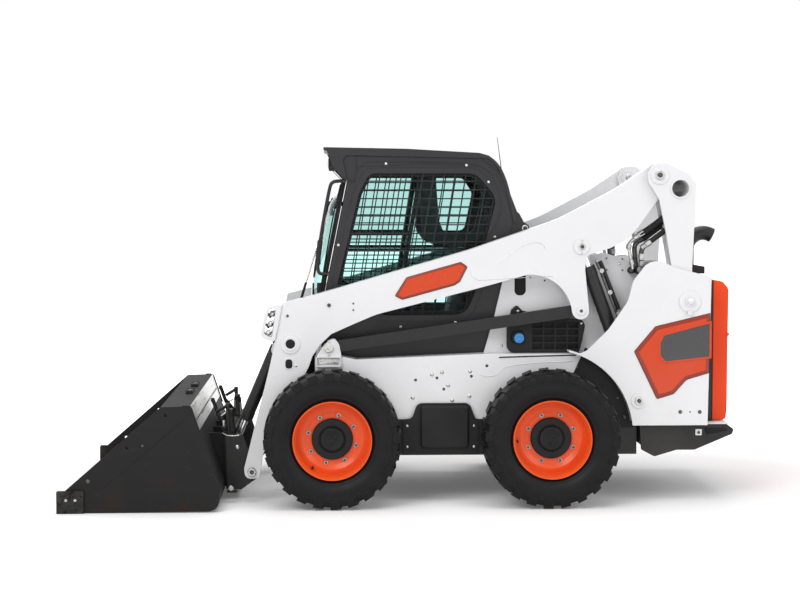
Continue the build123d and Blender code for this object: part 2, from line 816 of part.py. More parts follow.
def arm_outline():
    return [
        (front_x - 292, 1179, 15),
        (front_x - 123, 1222, 300),
        (rear_x - 461, 1494, 1200),
        (rear_x + 67, 1675, 900),
        (rear_x + 407, 1854, 900),
        (rear_x + 610, 1990, 60),
        (arm_rear_x, 1990, 60),
        (arm_rear_x, 1880, 60),
        (rear_x + 640, 1770, 40),
        (rear_x + 499, 1575, 250),
        (rear_x + 375, 1503, 100),
        (rear_x + 232, 1460, 40),
        (rear_x + 222, 1380, 100),
        (rear_x + 252, 1080, 48),
        (rear_x + 148, 1080, 48),
        (rear_x + 148, 1345, 250),
        (rear_x - 120, 1345, 0),
        (rear_x - 421, 1263, 400),
        (front_x + 260, 1112, 400),
        (front_x + 98, 1043, 60),
        (front_x - 6, 996, 40),
        (front_x - 74, 930, 60),
        (front_x - 117, 865, 60),
        (front_x - 138, 803, 60),
        (front_x - 412, 285, 200),
        (front_x - 432, 140, 34),
        (front_x - 514, 140, 34),
        (front_x - 522, 200, 60),
        (front_x - 379, 761, 400),
        (front_x - 340, 932, 400),
    ]


def lift_arm_side():
    corners = arm_outline()
    outer = side_plate(corners, arm_outer_y - arm_plate, arm_outer_y)
    inner = side_plate(corners, arm_inner_y, arm_inner_y + arm_plate)
    face = make_face(outline_wire(corners, arm_inner_y).edges())
    core = offset(face, amount=-arm_plate)
    rim = extrude(face, amount=arm_width, dir=(0, 1, 0)) - extrude(core, amount=arm_width, dir=(0, 1, 0))
    mouth = block(rear_x - 140, rear_x + 440, arm_inner_y - 5, arm_outer_y + 5, 1000, 1330)
    mouth_rear = block(rear_x + 150, rear_x + 440, arm_inner_y - 5, arm_outer_y + 5, 1320, 1545)
    arm = fuse(outer, inner, rim - mouth - mouth_rear)
    boss_f = disc(pivot_f, 47, arm_outer_y, arm_outer_y + 8)
    boss_c = disc(pivot_c, 28, arm_outer_y, arm_outer_y + 6)
    ring = disc(torque_tube, torque_tube_r, arm_outer_y, arm_outer_y + 6)
    arm = fuse(arm, boss_f, boss_c, ring)
    arm -= disc(torque_tube, 28, arm_inner_y - 5, arm_outer_y + 20)
    arm -= disc(pivot_b, link_pin_r + pin_clearance, arm_inner_y - 5, arm_outer_y + 5)
    return arm - disc(pivot_p, coupler_pin_r + pin_clearance, arm_inner_y - 5, arm_outer_y + 5)


def torque_tube_frame():
    """The tube between the arms, with the ears of the tilt cylinders."""
    tube = disc(torque_tube, torque_tube_r, -arm_inner_y, arm_inner_y)
    tube -= disc(torque_tube, torque_tube_r - 12, -arm_inner_y - 5, arm_inner_y + 5)
    ears = []
    tx, tz = pivot_t
    for side in (-1, 1):
        for step in (-1, 1):
            y = side * tilt_cylinder_y + step * 42.0
            ear = side_plate(
                [
                    (torque_tube[0] - 10, torque_tube[1] + 50, 0),
                    (tx - 14, tz + 34, 30),
                    (tx - 30, tz - 24, 34),
                    (tx + 30, tz - 36, 34),
                    (torque_tube[0] + 10, torque_tube[1] - 50, 0),
                ],
                y - 8,
                y + 8,
            )
            ears.append(ear)
        y = side * tilt_cylinder_y
        ears.append(disc(pivot_t, cylinder_pin_r, y - 42, y + 42))
    bore = disc(torque_tube, torque_tube_r - 12, -arm_inner_y - 5, arm_inner_y + 5)
    return fuse(tube, ears) - bore


def aux_coupler_block():
    """Hydraulic quick couplers in their guard, ahead of the left arm."""
    y_low, y_high = -arm_outer_y - 12, -arm_inner_y
    guard_outline = [
        (front_x - 290, 1170, 0),
        (front_x - 385, 1155, 30),
        (front_x - 425, 985, 30),
        (front_x - 340, 945, 20),
    ]
    guard = side_plate(guard_outline, y_low, y_high)
    guard -= block(front_x - 500, front_x - 300, y_low + 14, y_high - 12, 1000, 1140)
    guard -= side_plate(
        [
            (front_x - 330, 1150, 10),
            (front_x - 372, 1140, 20),
            (front_x - 404, 1000, 20),
            (front_x - 355, 975, 10),
        ],
        y_low - 5,
        y_high + 5,
    )
    arm_shape = side_plate(arm_outline(), y_low - 5, y_high + 5)
    return guard - arm_shape


# ---- hydraulic cylinders ----
def span(start, end):
    """Length and unit direction from one (x, z) pivot to another."""
    dx, dz = end[0] - start[0], end[1] - start[1]
    length = hypot(dx, dz)
    return length, dx / length, dz / length


def rod_between(start, end, y, low, high, radius):
    """A round bar along the line of two pivots, from low to high along it."""
    _, ux, uz = span(start, end)
    middle = (low + high) / 2
    centre = (start[0] + ux * middle, y, start[1] + uz * middle)
    return Plane(origin=centre, z_dir=(ux, 0, uz)) * Cylinder(radius, high - low)


lift_barrel_r = 40.0
lift_rod_r = 25.0
lift_eye_r = 42.0
lift_gland = 130.0  # from the arm's pin back to the barrel's end, parked
tilt_barrel_r = 38.0
tilt_rod_r = 20.0
tilt_eye_r = 34.0
tilt_gland = 125.0
rod_gap = 0.3


def barrel(start, end, y, radius, bore, eye_r, gland, width):
    """A cylinder barrel: eye, tube and gland, open for the rod."""
    length, _, _ = span(start, end)
    tube = rod_between(start, end, y, eye_r - 6, length - gland, radius)
    gland_ring = rod_between(start, end, y, length - gland - 60, length - gland - 20, radius + 2)
    eye = disc(start, eye_r, y - width / 2, y + width / 2)
    hollow = rod_between(start, end, y, eye_r + 34, length - gland + 5, bore)
    pin_hole = disc(start, cylinder_pin_r + pin_clearance, y - width, y + width)
    return fuse(tube, gland_ring, eye) - hollow - pin_hole


def rod(start, end, y, radius, eye_r, tail, width):
    """A piston rod with its eye and the pin in it."""
    length, _, _ = span(start, end)
    bar = rod_between(start, end, y, tail, length - eye_r + 6, radius)
    eye = disc(end, eye_r, y - width / 2, y + width / 2)
    return bar + eye


def lift_barrel():
    return barrel(pivot_e, pivot_f, arm_mid_y, lift_barrel_r, lift_rod_r + rod_gap, lift_eye_r,
                  lift_gland, 70)


def lift_rod():
    return rod(pivot_e, pivot_f, arm_mid_y, lift_rod_r, lift_eye_r, 90, 60)


def tilt_barrel():
    return barrel(pivot_t, pivot_g, tilt_cylinder_y, tilt_barrel_r, tilt_rod_r + rod_gap, tilt_eye_r + 2,
                  tilt_gland, 60)


def tilt_rod():
    return rod(pivot_t, pivot_g, tilt_cylinder_y, tilt_rod_r, tilt_eye_r, 157, 50)


# ---- coupler and bucket ----
coupler_top_z = 394.0
tilt_window_half = 30.0  # the coupler is open here, so the tilt rod passes at full roll-back
tilt_window_z = 262.0


def quick_coupler():
    side_outline = [
        (front_x - 640, coupler_top_z, 10),
        (front_x - 531, coupler_top_z - 7, 20),
        (front_x - 500, 283, 40),
        (front_x - 430, 200, 40),
        (front_x - 436, 138, 40),
        (front_x - 545, 58, 20),
        (front_x - 625, 65, 0),
    ]
    side = side_plate(side_outline, coupler_half - 16, coupler_half)
    face = side_plate(
        [
            (front_x - 640, coupler_top_z, 0),
            (front_x - 620, coupler_top_z, 0),
            (front_x - 606, 70, 0),
            (front_x - 625, 65, 0),
        ],
        -coupler_half,
        coupler_half,
    )
    top_bar = block(front_x - 636, front_x - 590, -coupler_half, coupler_half, coupler_top_z - 22, coupler_top_z)
    low_bar = side_plate(
        [
            (front_x - 625, 60, 0),
            (front_x - 618, 110, 0),
            (front_x - 560, 70, 0),
            (front_x - 570, 58, 0),
        ],
        -coupler_half,
        coupler_half,
    )
    pin = disc(pivot_p, coupler_pin_r, coupler_half - 16, arm_outer_y + 10)
    ears = []
    for step in (-1, 1):
        y = tilt_cylinder_y + step * 38.0
        ear = side_plate(
            [
                (front_x - 632, coupler_top_z - 22, 0),
                (pivot_g[0] + 4, coupler_top_z - 10, 30),
                (pivot_g[0] + 38, 340, 36),
                (pivot_g[0] + 10, 296, 30),
                (front_x - 612, 200, 0),
            ],
            y - 8,
            y + 8,
        )
        ears.append(ear)
    windows = [
        block(front_x - 660, front_x - 588, y - tilt_window_half, y + tilt_window_half, tilt_window_z,
              coupler_top_z + 5)
        for y in (-tilt_cylinder_y, tilt_cylinder_y)
    ]
    half = fuse(side, pin, ears)
    return fuse(face, top_bar, low_bar, half, left(half)) - windows[0] - windows[1]


bucket_tip = 15.0  # thickness of the wear tips outside the side plates
bucket_side_y = bucket_half - bucket_tip


def bucket_side_outline():
    return [
        (front_x - 1524, 130, 8),
        (front_x - 977, 608, 14),
        (front_x - 813, 613, 10),
        (front_x - 640, 120, 90),
        (front_x - 655, 8, 60),
        (front_x - 1335, ground_gap, 0),
        (front_x - 1560, ground_gap, 0),
    ]


def bucket_mount():
    """The plate that hooks over the coupler, with the gussets that tie it to the back sheet."""
    face_gap = seat_gap
    hook = side_plate(
        [
            (front_x - 652, coupler_top_z + 12, 0),
            (front_x - 604, coupler_top_z + 12, 0),
            (front_x - 604, coupler_top_z + face_gap, 0),
            (front_x - 640 - face_gap, coupler_top_z + face_gap, 0),
            (front_x - 625 - face_gap, 62, 0),
            (front_x - 635, 62, 0),
            (front_x - 650, coupler_top_z - 10, 0),
        ],
        -coupler_half + 8,
        coupler_half - 8,
    )
    gusset_outline = [
        (front_x - 631, 70, 0),
        (front_x - 645, coupler_top_z + 2, 0),
        (front_x - 741, coupler_top_z + 2, 0),
        (front_x - 647, 130, 0),
        (front_x - 650, 75, 0),
    ]
    gussets = [side_plate(gusset_outline, y - 5, y + 5) for y in (-430, -140, 140, 430)]
    mount = fuse(hook, gussets)
    for y in (-tilt_cylinder_y, tilt_cylinder_y):
        mount -= block(front_x - 700, front_x - 590, y - tilt_window_half - 16, y + tilt_window_half + 16,
                       tilt_window_z, coupler_top_z + 30)
    return mount


def bucket_shell():
    """Formed floor and back sheet between two side plates."""
    outer = bucket_side_outline()
    side = side_plate(outer, bucket_side_y - bucket_plate, bucket_side_y)
    skin_outline = [
        (front_x - 1335, ground_gap, 0),
        (front_x - 655, 8, 60),
        (front_x - 640, 120, 90),
        (front_x - 813, 613, 0),
        (front_x - 977, 608, 0),
        (front_x - 972, 600, 0),
        (front_x - 822, 604, 0),
        (front_x - 650, 120, 80),
        (front_x - 664, 18, 52),
        (front_x - 1335, ground_gap + 10, 0),
    ]
    skin = side_plate(skin_outline, -bucket_side_y, bucket_side_y)
    holes = []
    for step in range(3):
        share = step / 2
        x = front_x - 1405 + share * 443
        z = 193 + share * 374
        holes.append(disc((x + 12, z - 8), 11, bucket_side_y - bucket_plate - 5, bucket_half + 5))
    side = side - holes[0] - holes[1] - holes[2]
    return fuse(side, left(side), skin, bucket_mount())


def cutting_edge():
    """Edge across the lip, with a wear tip outside each side plate."""
    inner_y = bucket_side_y - bucket_plate
    edge = side_plate(
        [
            (front_x - 1571, ground_gap, 0),
            (front_x - 1545, ground_gap + 20, 0),
            (front_x - 1335, ground_gap + 20, 0),
            (front_x - 1335, ground_gap, 0),
        ],
        -inner_y,
        inner_y,
    )
    edge -= block(front_x - 1345, front_x - 1300, -1000, 1000, ground_gap + 10, ground_gap + 30)
    tip = side_plate(
        [
            (front_x - 1571, 24, 0),
            (front_x - 1571, 131, 8),
            (front_x - 1417, 131, 8),
            (front_x - 1417, ground_gap, 0),
            (front_x - 1571, ground_gap, 0),
        ],
        bucket_side_y,
        bucket_half,
    )
    nose = block(front_x - 1571, front_x - 1530, inner_y, bucket_half, ground_gap, 120)
    nose -= side_plate(bucket_side_outline(), 0, bucket_half)
    return fuse(edge, both(tip), both(nose))


# ---- wheels ----
def tyre(x, side):
    inner_y, outer_y = tyre_inner_y, tyre_outer_y
    middle = (inner_y + outer_y) / 2
    half = tyre_width / 2
    corners = [
        (rim_radius - 14, -half + 45, 0),
        (rim_radius + 8, -half + 45, 0),
        (rim_radius + 40, -half + 18, 30),
        (rim_radius + 90, -half, 40),
        (tyre_radius - 22, -half + 6, 30),
        (tyre_radius, -half + 40, 30),
        (tyre_radius, half - 40, 30),
        (tyre_radius - 22, half - 6, 30),
        (rim_radius + 90, half, 40),
        (rim_radius + 40, half - 18, 30),
        (rim_radius + 8, half - 45, 0),
        (rim_radius - 14, half - 45, 0),
    ]
    wire = FilletPolyline(
        *[(radius, across, 0) for radius, across, _ in corners],
        radius=[r for _, _, r in corners],
        close=True,
    )
    face = make_face(wire.edges())
    ring = revolve(face, axis=Axis.Y)
    return Pos(x, side * middle, axle_z) * ring


def rim(x, side):
    """Pressed rim with its dished disc, hub flange and cap, made for the right side."""
    middle = (tyre_inner_y + tyre_outer_y) / 2
    half = tyre_width / 2
    seat_r = rim_radius - 14.3
    corners = [
        (60, 16), (60, 44), (66, 44), (66, 30), (119, 30), (119, 18),
        (150, 18), (178, 34), (206, 30), (seat_r - 4, half - 70), (seat_r - 4, half - 44.7),
        (rim_radius - 6, half - 24), (rim_radius, half - 24), (rim_radius, half - 44.7),
        (seat_r, half - 44.7), (seat_r, -half + 44.7), (rim_radius, -half + 44.7),
        (rim_radius, -half + 24), (rim_radius - 6, -half + 24), (seat_r - 4, -half + 44.7),
        (seat_r - 10, half - 130), (150, 4), (119, 4), (75, 4), (75, -30), (0, -30), (0, 16),
    ]
    wire = Polyline(*[(radius, across, 0) for radius, across in corners], close=True)
    ring = revolve(make_face(wire.edges()), axis=Axis.Y)
    if side < 0:
        ring = mirror(ring, about=Plane.XZ)
    return Pos(x, side * middle, axle_z) * ring


# ---- every sub-part, by its node name ----
parts = {
    "main_frame": main_frame(),
    "chain_cases": chain_cases(),
    "axle_housings": axle_housings(),
    "engine_block": engine_block(),
    "side_covers": side_covers(),
    "upright_right": upright(),
    "upright_left": left(upright()),
    "link_brackets": both(link_bracket()),
    "intake_grilles": both(intake_grille()),
    "engine_hood": engine_hood(),
    "tail_frame": tail_frame(),
    "rear_bumper": rear_bumper(),
    "exhaust_pipe": exhaust_pipe(),
    "cab_shell": cab_shell(),
    "cab_roof": cab_roof(),
    "cab_windows": cab_windows(),
    "seat": seat(),
    "seat_base": seat_base(),
    "control_levers": control_levers(),
    "lap_bar": lap_bar(),
    "antenna": antenna(),
    "door_frame": door_frame(),
    "door_glass": door_glass(),
    "tailgate": tailgate(),
    "tail_lights": tail_lights(),
    "control_links": both(control_link()),
    "rear_link_right": rear_link(),
    "rear_link_left": left(rear_link()),
    "rear_cross_tube": rear_cross_tube(),
    "lift_arm_right": lift_arm_side(),
    "lift_arm_left": left(lift_arm_side()),
    "torque_tube": torque_tube_frame(),
    "aux_coupler_block": aux_coupler_block(),
    "lift_barrels": both(lift_barrel()),
    "lift_rods": both(lift_rod()),
    "tilt_barrels": both(tilt_barrel()),
    "tilt_rods": both(tilt_rod()),
    "quick_coupler": quick_coupler(),
    "bucket_shell": bucket_shell(),
    "cutting_edge": cutting_edge(),
}
for end, x in (("front", front_x), ("rear", rear_x)):
    for name, side in (("left", -1), ("right", 1)):
        parts[f"tyre_{end}_{name}"] = tyre(x, side)
        parts[f"rim_{end}_{name}"] = rim(x, side)

# The origin goes under the middle of the machine, from bucket edge to tail.
middle_x = (front_x - 1571 + tail_x) / 2
os.makedirs("parts", exist_ok=True)
for name, shape in parts.items():
    pieces = shape if isinstance(shape, list) else [shape]
    solids = [solid for piece in pieces for solid in piece.solids()]
    moved = Compound(children=[Pos(-middle_x, 0, 0) * solid for solid in solids])
    export_step(moved, f"parts/{name}.step")
print("origin at x", middle_x, "from the rear axle")
for name, (x, z) in {
    "A": pivot_a, "B": pivot_b, "C": pivot_c, "D": pivot_d, "E": pivot_e, "F": pivot_f,
    "P": pivot_p, "T": pivot_t, "G": pivot_g,
}.items():
    print("pivot", name, round(x - middle_x, 2), z)
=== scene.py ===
import json
import math

import bmesh
import bpy
from mathutils import Matrix, Vector


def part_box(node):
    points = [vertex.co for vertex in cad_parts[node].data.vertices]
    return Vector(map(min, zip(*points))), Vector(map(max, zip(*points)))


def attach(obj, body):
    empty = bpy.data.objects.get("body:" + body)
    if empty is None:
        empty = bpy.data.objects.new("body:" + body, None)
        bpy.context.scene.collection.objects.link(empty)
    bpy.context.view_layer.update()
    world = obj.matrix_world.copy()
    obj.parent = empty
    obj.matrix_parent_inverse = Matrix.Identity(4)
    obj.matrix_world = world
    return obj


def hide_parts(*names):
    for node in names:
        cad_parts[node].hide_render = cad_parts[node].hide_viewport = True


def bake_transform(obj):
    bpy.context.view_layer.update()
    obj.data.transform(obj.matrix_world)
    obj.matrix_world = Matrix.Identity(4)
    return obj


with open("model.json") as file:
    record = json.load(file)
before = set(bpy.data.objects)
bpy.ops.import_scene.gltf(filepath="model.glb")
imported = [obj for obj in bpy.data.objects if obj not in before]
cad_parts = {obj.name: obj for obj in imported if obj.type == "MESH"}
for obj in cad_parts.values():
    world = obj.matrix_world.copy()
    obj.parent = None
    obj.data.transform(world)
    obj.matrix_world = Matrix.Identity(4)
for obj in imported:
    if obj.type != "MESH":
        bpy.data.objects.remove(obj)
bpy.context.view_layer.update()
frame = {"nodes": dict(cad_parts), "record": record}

print("frame loaded")


# small helpers for meshes: a shape is a pair of lists, points and faces

def shapeOf(bm):
    bm.verts.index_update()
    points = [vert.co.copy() for vert in bm.verts]
    faces = [[vert.index for vert in face.verts] for face in bm.faces]
    bm.free()
    return points, faces


def joined(*shapes):
    points, faces = [], []
    for more, rings in shapes:
        offset = len(points)
        points += more
        faces += [[index + offset for index in ring] for ring in rings]
    return points, faces


def moved(shape, matrix):
    return [matrix @ Vector(point) for point in shape[0]], shape[1]


def shifted(shape, x=0.0, y=0.0, z=0.0):
    return moved(shape, Matrix.Translation((x, y, z)))


def mirrored(shape):
    # the other side of the machine, with its faces turned back outwards
    return [Vector((p[0], -p[1], p[2])) for p in shape[0]], [ring[::-1] for ring in shape[1]]


def onSide(shape, side):
    return shape if side > 0 else mirrored(shape)


def paired(shape, x=0.0, y=0.0, z=0.0):
    # the shape and its mirror image, each moved out to its own side
    return joined(*[shifted(onSide(shape, side), x, side * y, z) for side in (-1, 1)])


def atDepth(line, y):
    # a line of (x, z) rows at one depth
    return [(x, y, z) for x, z in line]


def bothLines(line, y):
    return [atDepth(line, side * y) for side in (-1, 1)]


def rectangle(x0, z0, x1, z1, radius):
    return [(x0, z0, radius), (x1, z0, radius), (x1, z1, radius), (x0, z1, radius)]


def slab(low, high, bevel=0.002, segments=2):
    # a block between two corners with rounded edges
    bm = bmesh.new()
    size = [abs(high[i] - low[i]) for i in range(3)]
    middle = [(high[i] + low[i]) / 2 for i in range(3)]
    bmesh.ops.create_cube(bm, size=1.0)
    bmesh.ops.scale(bm, vec=size, verts=bm.verts)
    bmesh.ops.translate(bm, vec=middle, verts=bm.verts)
    amount = min(bevel, min(size) * 0.45)
    bmesh.ops.bevel(bm, geom=bm.edges[:], offset=amount, segments=segments, affect="EDGES", profile=0.5)
    return shapeOf(bm)


def turned(profile, steps=48, closed=False, start=0.0):
    # rings of (radius, along) round the Y axis
    bm = bmesh.new()
    rings = []
    for radius, along in profile:
        if radius < 1e-6:
            rings.append([bm.verts.new((0, along, 0))])
            continue
        ring = []
        for step in range(steps):
            angle = start + 2 * math.pi * step / steps
            ring.append(bm.verts.new((radius * math.cos(angle), along, radius * math.sin(angle))))
        rings.append(ring)
    pairs = list(zip(rings, rings[1:]))
    if closed:
        pairs.append((rings[-1], rings[0]))
    for first, second in pairs:
        for step in range(steps):
            after = (step + 1) % steps
            corners = [first[step % len(first)], first[after % len(first)],
                       second[after % len(second)], second[step % len(second)]]
            unique = []
            for corner in corners:
                if corner not in unique:
                    unique.append(corner)
            if len(unique) > 2:
                bm.faces.new(unique)
    bmesh.ops.recalc_face_normals(bm, faces=bm.faces)
    return shapeOf(bm)


def rounded(outline, steps=5):
    # an outline of (x, z, corner radius) rows as a list of (x, z) points
    result = []
    count = len(outline)
    for index, (x, z, radius) in enumerate(outline):
        here = Vector((x, z))
        before = Vector(outline[index - 1][:2]) - here
        after = Vector(outline[(index + 1) % count][:2]) - here
        if radius <= 0:
            result.append(here)
            continue
        half = before.angle(after) / 2
        reach = min(radius / math.tan(half), before.length * 0.49, after.length * 0.49)
        first = here + before.normalized() * reach
        last = here + after.normalized() * reach
        for step in range(steps + 1):
            t = step / steps
            result.append(first * (1 - t) ** 2 + here * 2 * t * (1 - t) + last * t * t)
    return result


def plateShape(outline, low, high, bevel=0.0015, steps=5):
    # a plate across the machine, from y low to y high, with softened edges
    bm = bmesh.new()
    verts = [bm.verts.new((p[0], low, p[1])) for p in rounded(outline, steps)]
    face = bm.faces.new(verts)
    grown = bmesh.ops.extrude_face_region(bm, geom=[face])
    lifted = [item for item in grown["geom"] if isinstance(item, bmesh.types.BMVert)]
    bmesh.ops.translate(bm, vec=(0, high - low, 0), verts=lifted)
    bmesh.ops.recalc_face_normals(bm, faces=bm.faces)
    if bevel > 0:
        rims = [edge for edge in bm.edges if abs(edge.verts[0].co.y - edge.verts[1].co.y) < 1e-7]
        bmesh.ops.bevel(bm, geom=rims, offset=bevel, segments=2, affect="EDGES", profile=0.5)
    return shapeOf(bm)


def meshFrom(name, shape):
    mesh = bpy.data.meshes.new(name)
    mesh.from_pydata([tuple(point) for point in shape[0]], [], shape[1])
    bm = bmesh.new()
    bm.from_mesh(mesh)
    bmesh.ops.remove_doubles(bm, verts=bm.verts, dist=1e-6)
    bmesh.ops.recalc_face_normals(bm, faces=bm.faces)
    bm.to_mesh(mesh)
    bm.free()
    return mesh


def newObject(name, mesh):
    piece = bpy.data.objects.new(name, mesh)
    bpy.context.scene.collection.objects.link(piece)
    return piece


def settle(piece, body, look, smooth=32):
    # the last step of every new piece; one made by a tree has its material already
    if not piece.data.materials:
        # clearing also sets every face back to the first material
        piece.data.materials.clear()
        piece.data.materials.append(looks[look])
    piece.data.shade_smooth()
    piece.data.set_sharp_from_angle(angle=math.radians(smooth))
    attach(piece, body)
    return piece


def build(name, shape, body, look, smooth=32):
    return settle(newObject(name, meshFrom(name, shape)), body, look, smooth)


# node wiring

def plug(tree, node, values):
    # links the sockets among the values and sets the rest
    for key, value in values.items():
        if isinstance(value, bpy.types.NodeSocket):
            tree.links.new(value, node.inputs[key])
        else:
            node.inputs[key].default_value = value
    return node


def addNode(tree, kind, inputs=None, **settings):
    node = tree.nodes.new(kind)
    for key, value in settings.items():
        setattr(node, key, value)
    return plug(tree, node, inputs or {})


def calc(tree, operation, *values, clamp=False):
    inputs = dict(enumerate(values))
    return addNode(tree, "ShaderNodeMath", inputs, operation=operation, use_clamp=clamp).outputs[0]


def vectorCalc(tree, operation, *values):
    return addNode(tree, "ShaderNodeVectorMath", dict(enumerate(values)), operation=operation).outputs


def blendColors(tree, factor, first, second):
    # plain colours are given as three numbers
    first, second = [(*color, 1) if isinstance(color, tuple) else color for color in (first, second)]
    return addNode(tree, "ShaderNodeMix", {0: factor, 6: first, 7: second}, data_type="RGBA").outputs[2]


def remap(tree, value, fromLow, fromHigh, toLow=0.0, toHigh=1.0):
    inputs = {"Value": value, 1: fromLow, 2: fromHigh, 3: toLow, 4: toHigh}
    return addNode(tree, "ShaderNodeMapRange", inputs).outputs[0]


def placeOf(tree):
    return addNode(tree, "ShaderNodeTexCoord").outputs["Object"]


def heightOf(tree, place):
    return addNode(tree, "ShaderNodeSeparateXYZ", {0: place}).outputs["Z"]


def noiseAt(tree, place, scale, detail, rough=0.5):
    inputs = {"Vector": place, "Scale": scale, "Detail": detail, "Roughness": rough}
    return addNode(tree, "ShaderNodeTexNoise", inputs).outputs[0]


def bumpFrom(tree, height, strength, distance=0.0008, **normal):
    inputs = {"Height": height, "Strength": strength, "Distance": distance, **normal}
    return addNode(tree, "ShaderNodeBump", inputs).outputs[0]


def newTree(name, treeKind, inputs, outputs):
    # a node group with its named sockets, its input sockets inside, and its end node
    tree = bpy.data.node_groups.new(name, treeKind)
    for label, kind, *value in inputs:
        socket = tree.interface.new_socket(label, in_out="INPUT", socket_type="NodeSocket" + kind)
        if value:
            socket.default_value = value[0]
    for label, kind in outputs:
        tree.interface.new_socket(label, in_out="OUTPUT", socket_type="NodeSocket" + kind)
    return tree, addNode(tree, "NodeGroupInput").outputs, addNode(tree, "NodeGroupOutput")


def makeEdgeGroup():
    # rounds sharp edges in the shading and picks out where paint rubs off them
    tree, given, end = newTree(
        "Edge Wear", "ShaderNodeTree",
        [("Radius", "Float", 0.003), ("Amount", "Float", 0.5), ("Breakup", "Float", 60.0)],
        [("Mask", "Float"), ("Normal", "Vector")])
    soft = addNode(tree, "ShaderNodeBevel", {"Radius": given["Radius"]}, samples=4).outputs[0]
    true = addNode(tree, "ShaderNodeNewGeometry").outputs["Normal"]
    turn = calc(tree, "SUBTRACT", 1.0, vectorCalc(tree, "DOT_PRODUCT", soft, true)["Value"])
    chips = remap(tree, noiseAt(tree, placeOf(tree), given["Breakup"], 5.0), 0.48, 0.62)
    mask = calc(tree, "MULTIPLY", calc(tree, "MULTIPLY", turn, 5.0, clamp=True), chips)
    plug(tree, end, {"Mask": calc(tree, "MULTIPLY", mask, given["Amount"], clamp=True), "Normal": soft})
    return tree


def makeDustGroup():
    # road dust: thicker low down, patchy, and a light film elsewhere
    tree, given, end = newTree(
        "Settled Dust", "ShaderNodeTree",
        [("Clean", "Color", (0.8, 0.8, 0.8, 1)), ("Dust", "Color", (0.3, 0.26, 0.2, 1)),
         ("Amount", "Float", 0.3), ("Film", "Float", 0.04), ("Top", "Float", 0.9), ("Scale", "Float", 3.0)],
        [("Color", "Color"), ("Mask", "Float")])
    place = placeOf(tree)
    low = calc(tree, "SUBTRACT", 1.0, calc(tree, "DIVIDE", heightOf(tree, place), given["Top"]), clamp=True)
    patches = remap(tree, noiseAt(tree, place, given["Scale"], 6.0, 0.6), 0.35, 0.7)
    specks = remap(tree, noiseAt(tree, place, 55.0, 3.0), 0.45, 0.75)
    thick = calc(tree, "MULTIPLY", calc(tree, "MULTIPLY", low, patches), given["Amount"])
    film = calc(tree, "MULTIPLY", calc(tree, "MULTIPLY_ADD", specks, 0.6, patches), given["Film"])
    mask = calc(tree, "ADD", thick, film, clamp=True)
    plug(tree, end, {"Color": blendColors(tree, mask, given["Clean"], given["Dust"]), "Mask": mask})
    return tree


def makeGrainGroup():
    # fine unevenness of a sprayed, cast or moulded skin
    tree, given, end = newTree(
        "Fine Grain", "ShaderNodeTree",
        [("Size", "Float", 300.0), ("Wave", "Float", 4.0), ("Share", "Float", 0.5)],
        [("Height", "Float"), ("Patch", "Float")])
    place = placeOf(tree)
    wave = noiseAt(tree, place, given["Wave"], 4.0)
    height = calc(tree, "MULTIPLY_ADD", noiseAt(tree, place, given["Size"], 2.0), given["Share"], wave)
    plug(tree, end, {"Height": height, "Patch": wave})
    return tree


def makeScuffGroup():
    # long thin rubs along one direction, set by unequal scales
    tree, given, end = newTree(
        "Long Scuffs", "ShaderNodeTree",
        [("Stretch", "Vector", (4.0, 60.0, 60.0)), ("Level", "Float", 0.6)], [("Mask", "Float")])
    drawn = vectorCalc(tree, "MULTIPLY", placeOf(tree), given["Stretch"])[0]
    above = calc(tree, "SUBTRACT", noiseAt(tree, drawn, 1.0, 5.0, 0.7), given["Level"])
    plug(tree, end, {"Mask": calc(tree, "MULTIPLY", above, 9.0, clamp=True)})
    return tree


edgeGroup, dustGroup = makeEdgeGroup(), makeDustGroup()
grainGroup, scuffGroup = makeGrainGroup(), makeScuffGroup()


def placeGroup(tree, group, **values):
    return addNode(tree, "ShaderNodeGroup", values, node_tree=group).outputs


def startMaterial(name):
    material = bpy.data.materials.new(name)
    material.use_nodes = True
    return material, material.node_tree, material.node_tree.nodes["Principled BSDF"]


def makePaint(name, color, under, dust, film, mud, rough, coat, grain, bump, wear, radius, shine):
    # paint or plastic: faintly uneven, rubbed at its edges and dusty; under is what shows where it is rubbed
    material, tree, shader = startMaterial(name)
    edge = placeGroup(tree, edgeGroup, Radius=radius, Amount=wear, Breakup=70.0)
    skin = placeGroup(tree, grainGroup, Size=float(grain), Wave=3.5, Share=0.6)
    shade = blendColors(tree, remap(tree, skin["Patch"], 0.3, 0.7, 0.0, 0.1), color,
                        tuple(channel * 0.72 for channel in color))
    rubbed = blendColors(tree, edge["Mask"], shade, under)
    dirt = placeGroup(tree, dustGroup, Clean=rubbed, Dust=(*dust, 1), Amount=mud, Film=film, Top=0.75, Scale=3.0)
    uneven = calc(tree, "MULTIPLY_ADD", remap(tree, skin["Patch"], 0.3, 0.7, -0.05, 0.08), 1.0, rough)
    plug(tree, shader, {
        "Base Color": dirt["Color"], "Roughness": calc(tree, "MULTIPLY_ADD", dirt["Mask"], 0.5, uneven, clamp=True),
        "Coat Weight": coat, "Coat Roughness": 0.08, "Specular IOR Level": shine,
        "Normal": bumpFrom(tree, skin["Height"], bump, Normal=edge["Normal"])})
    return material


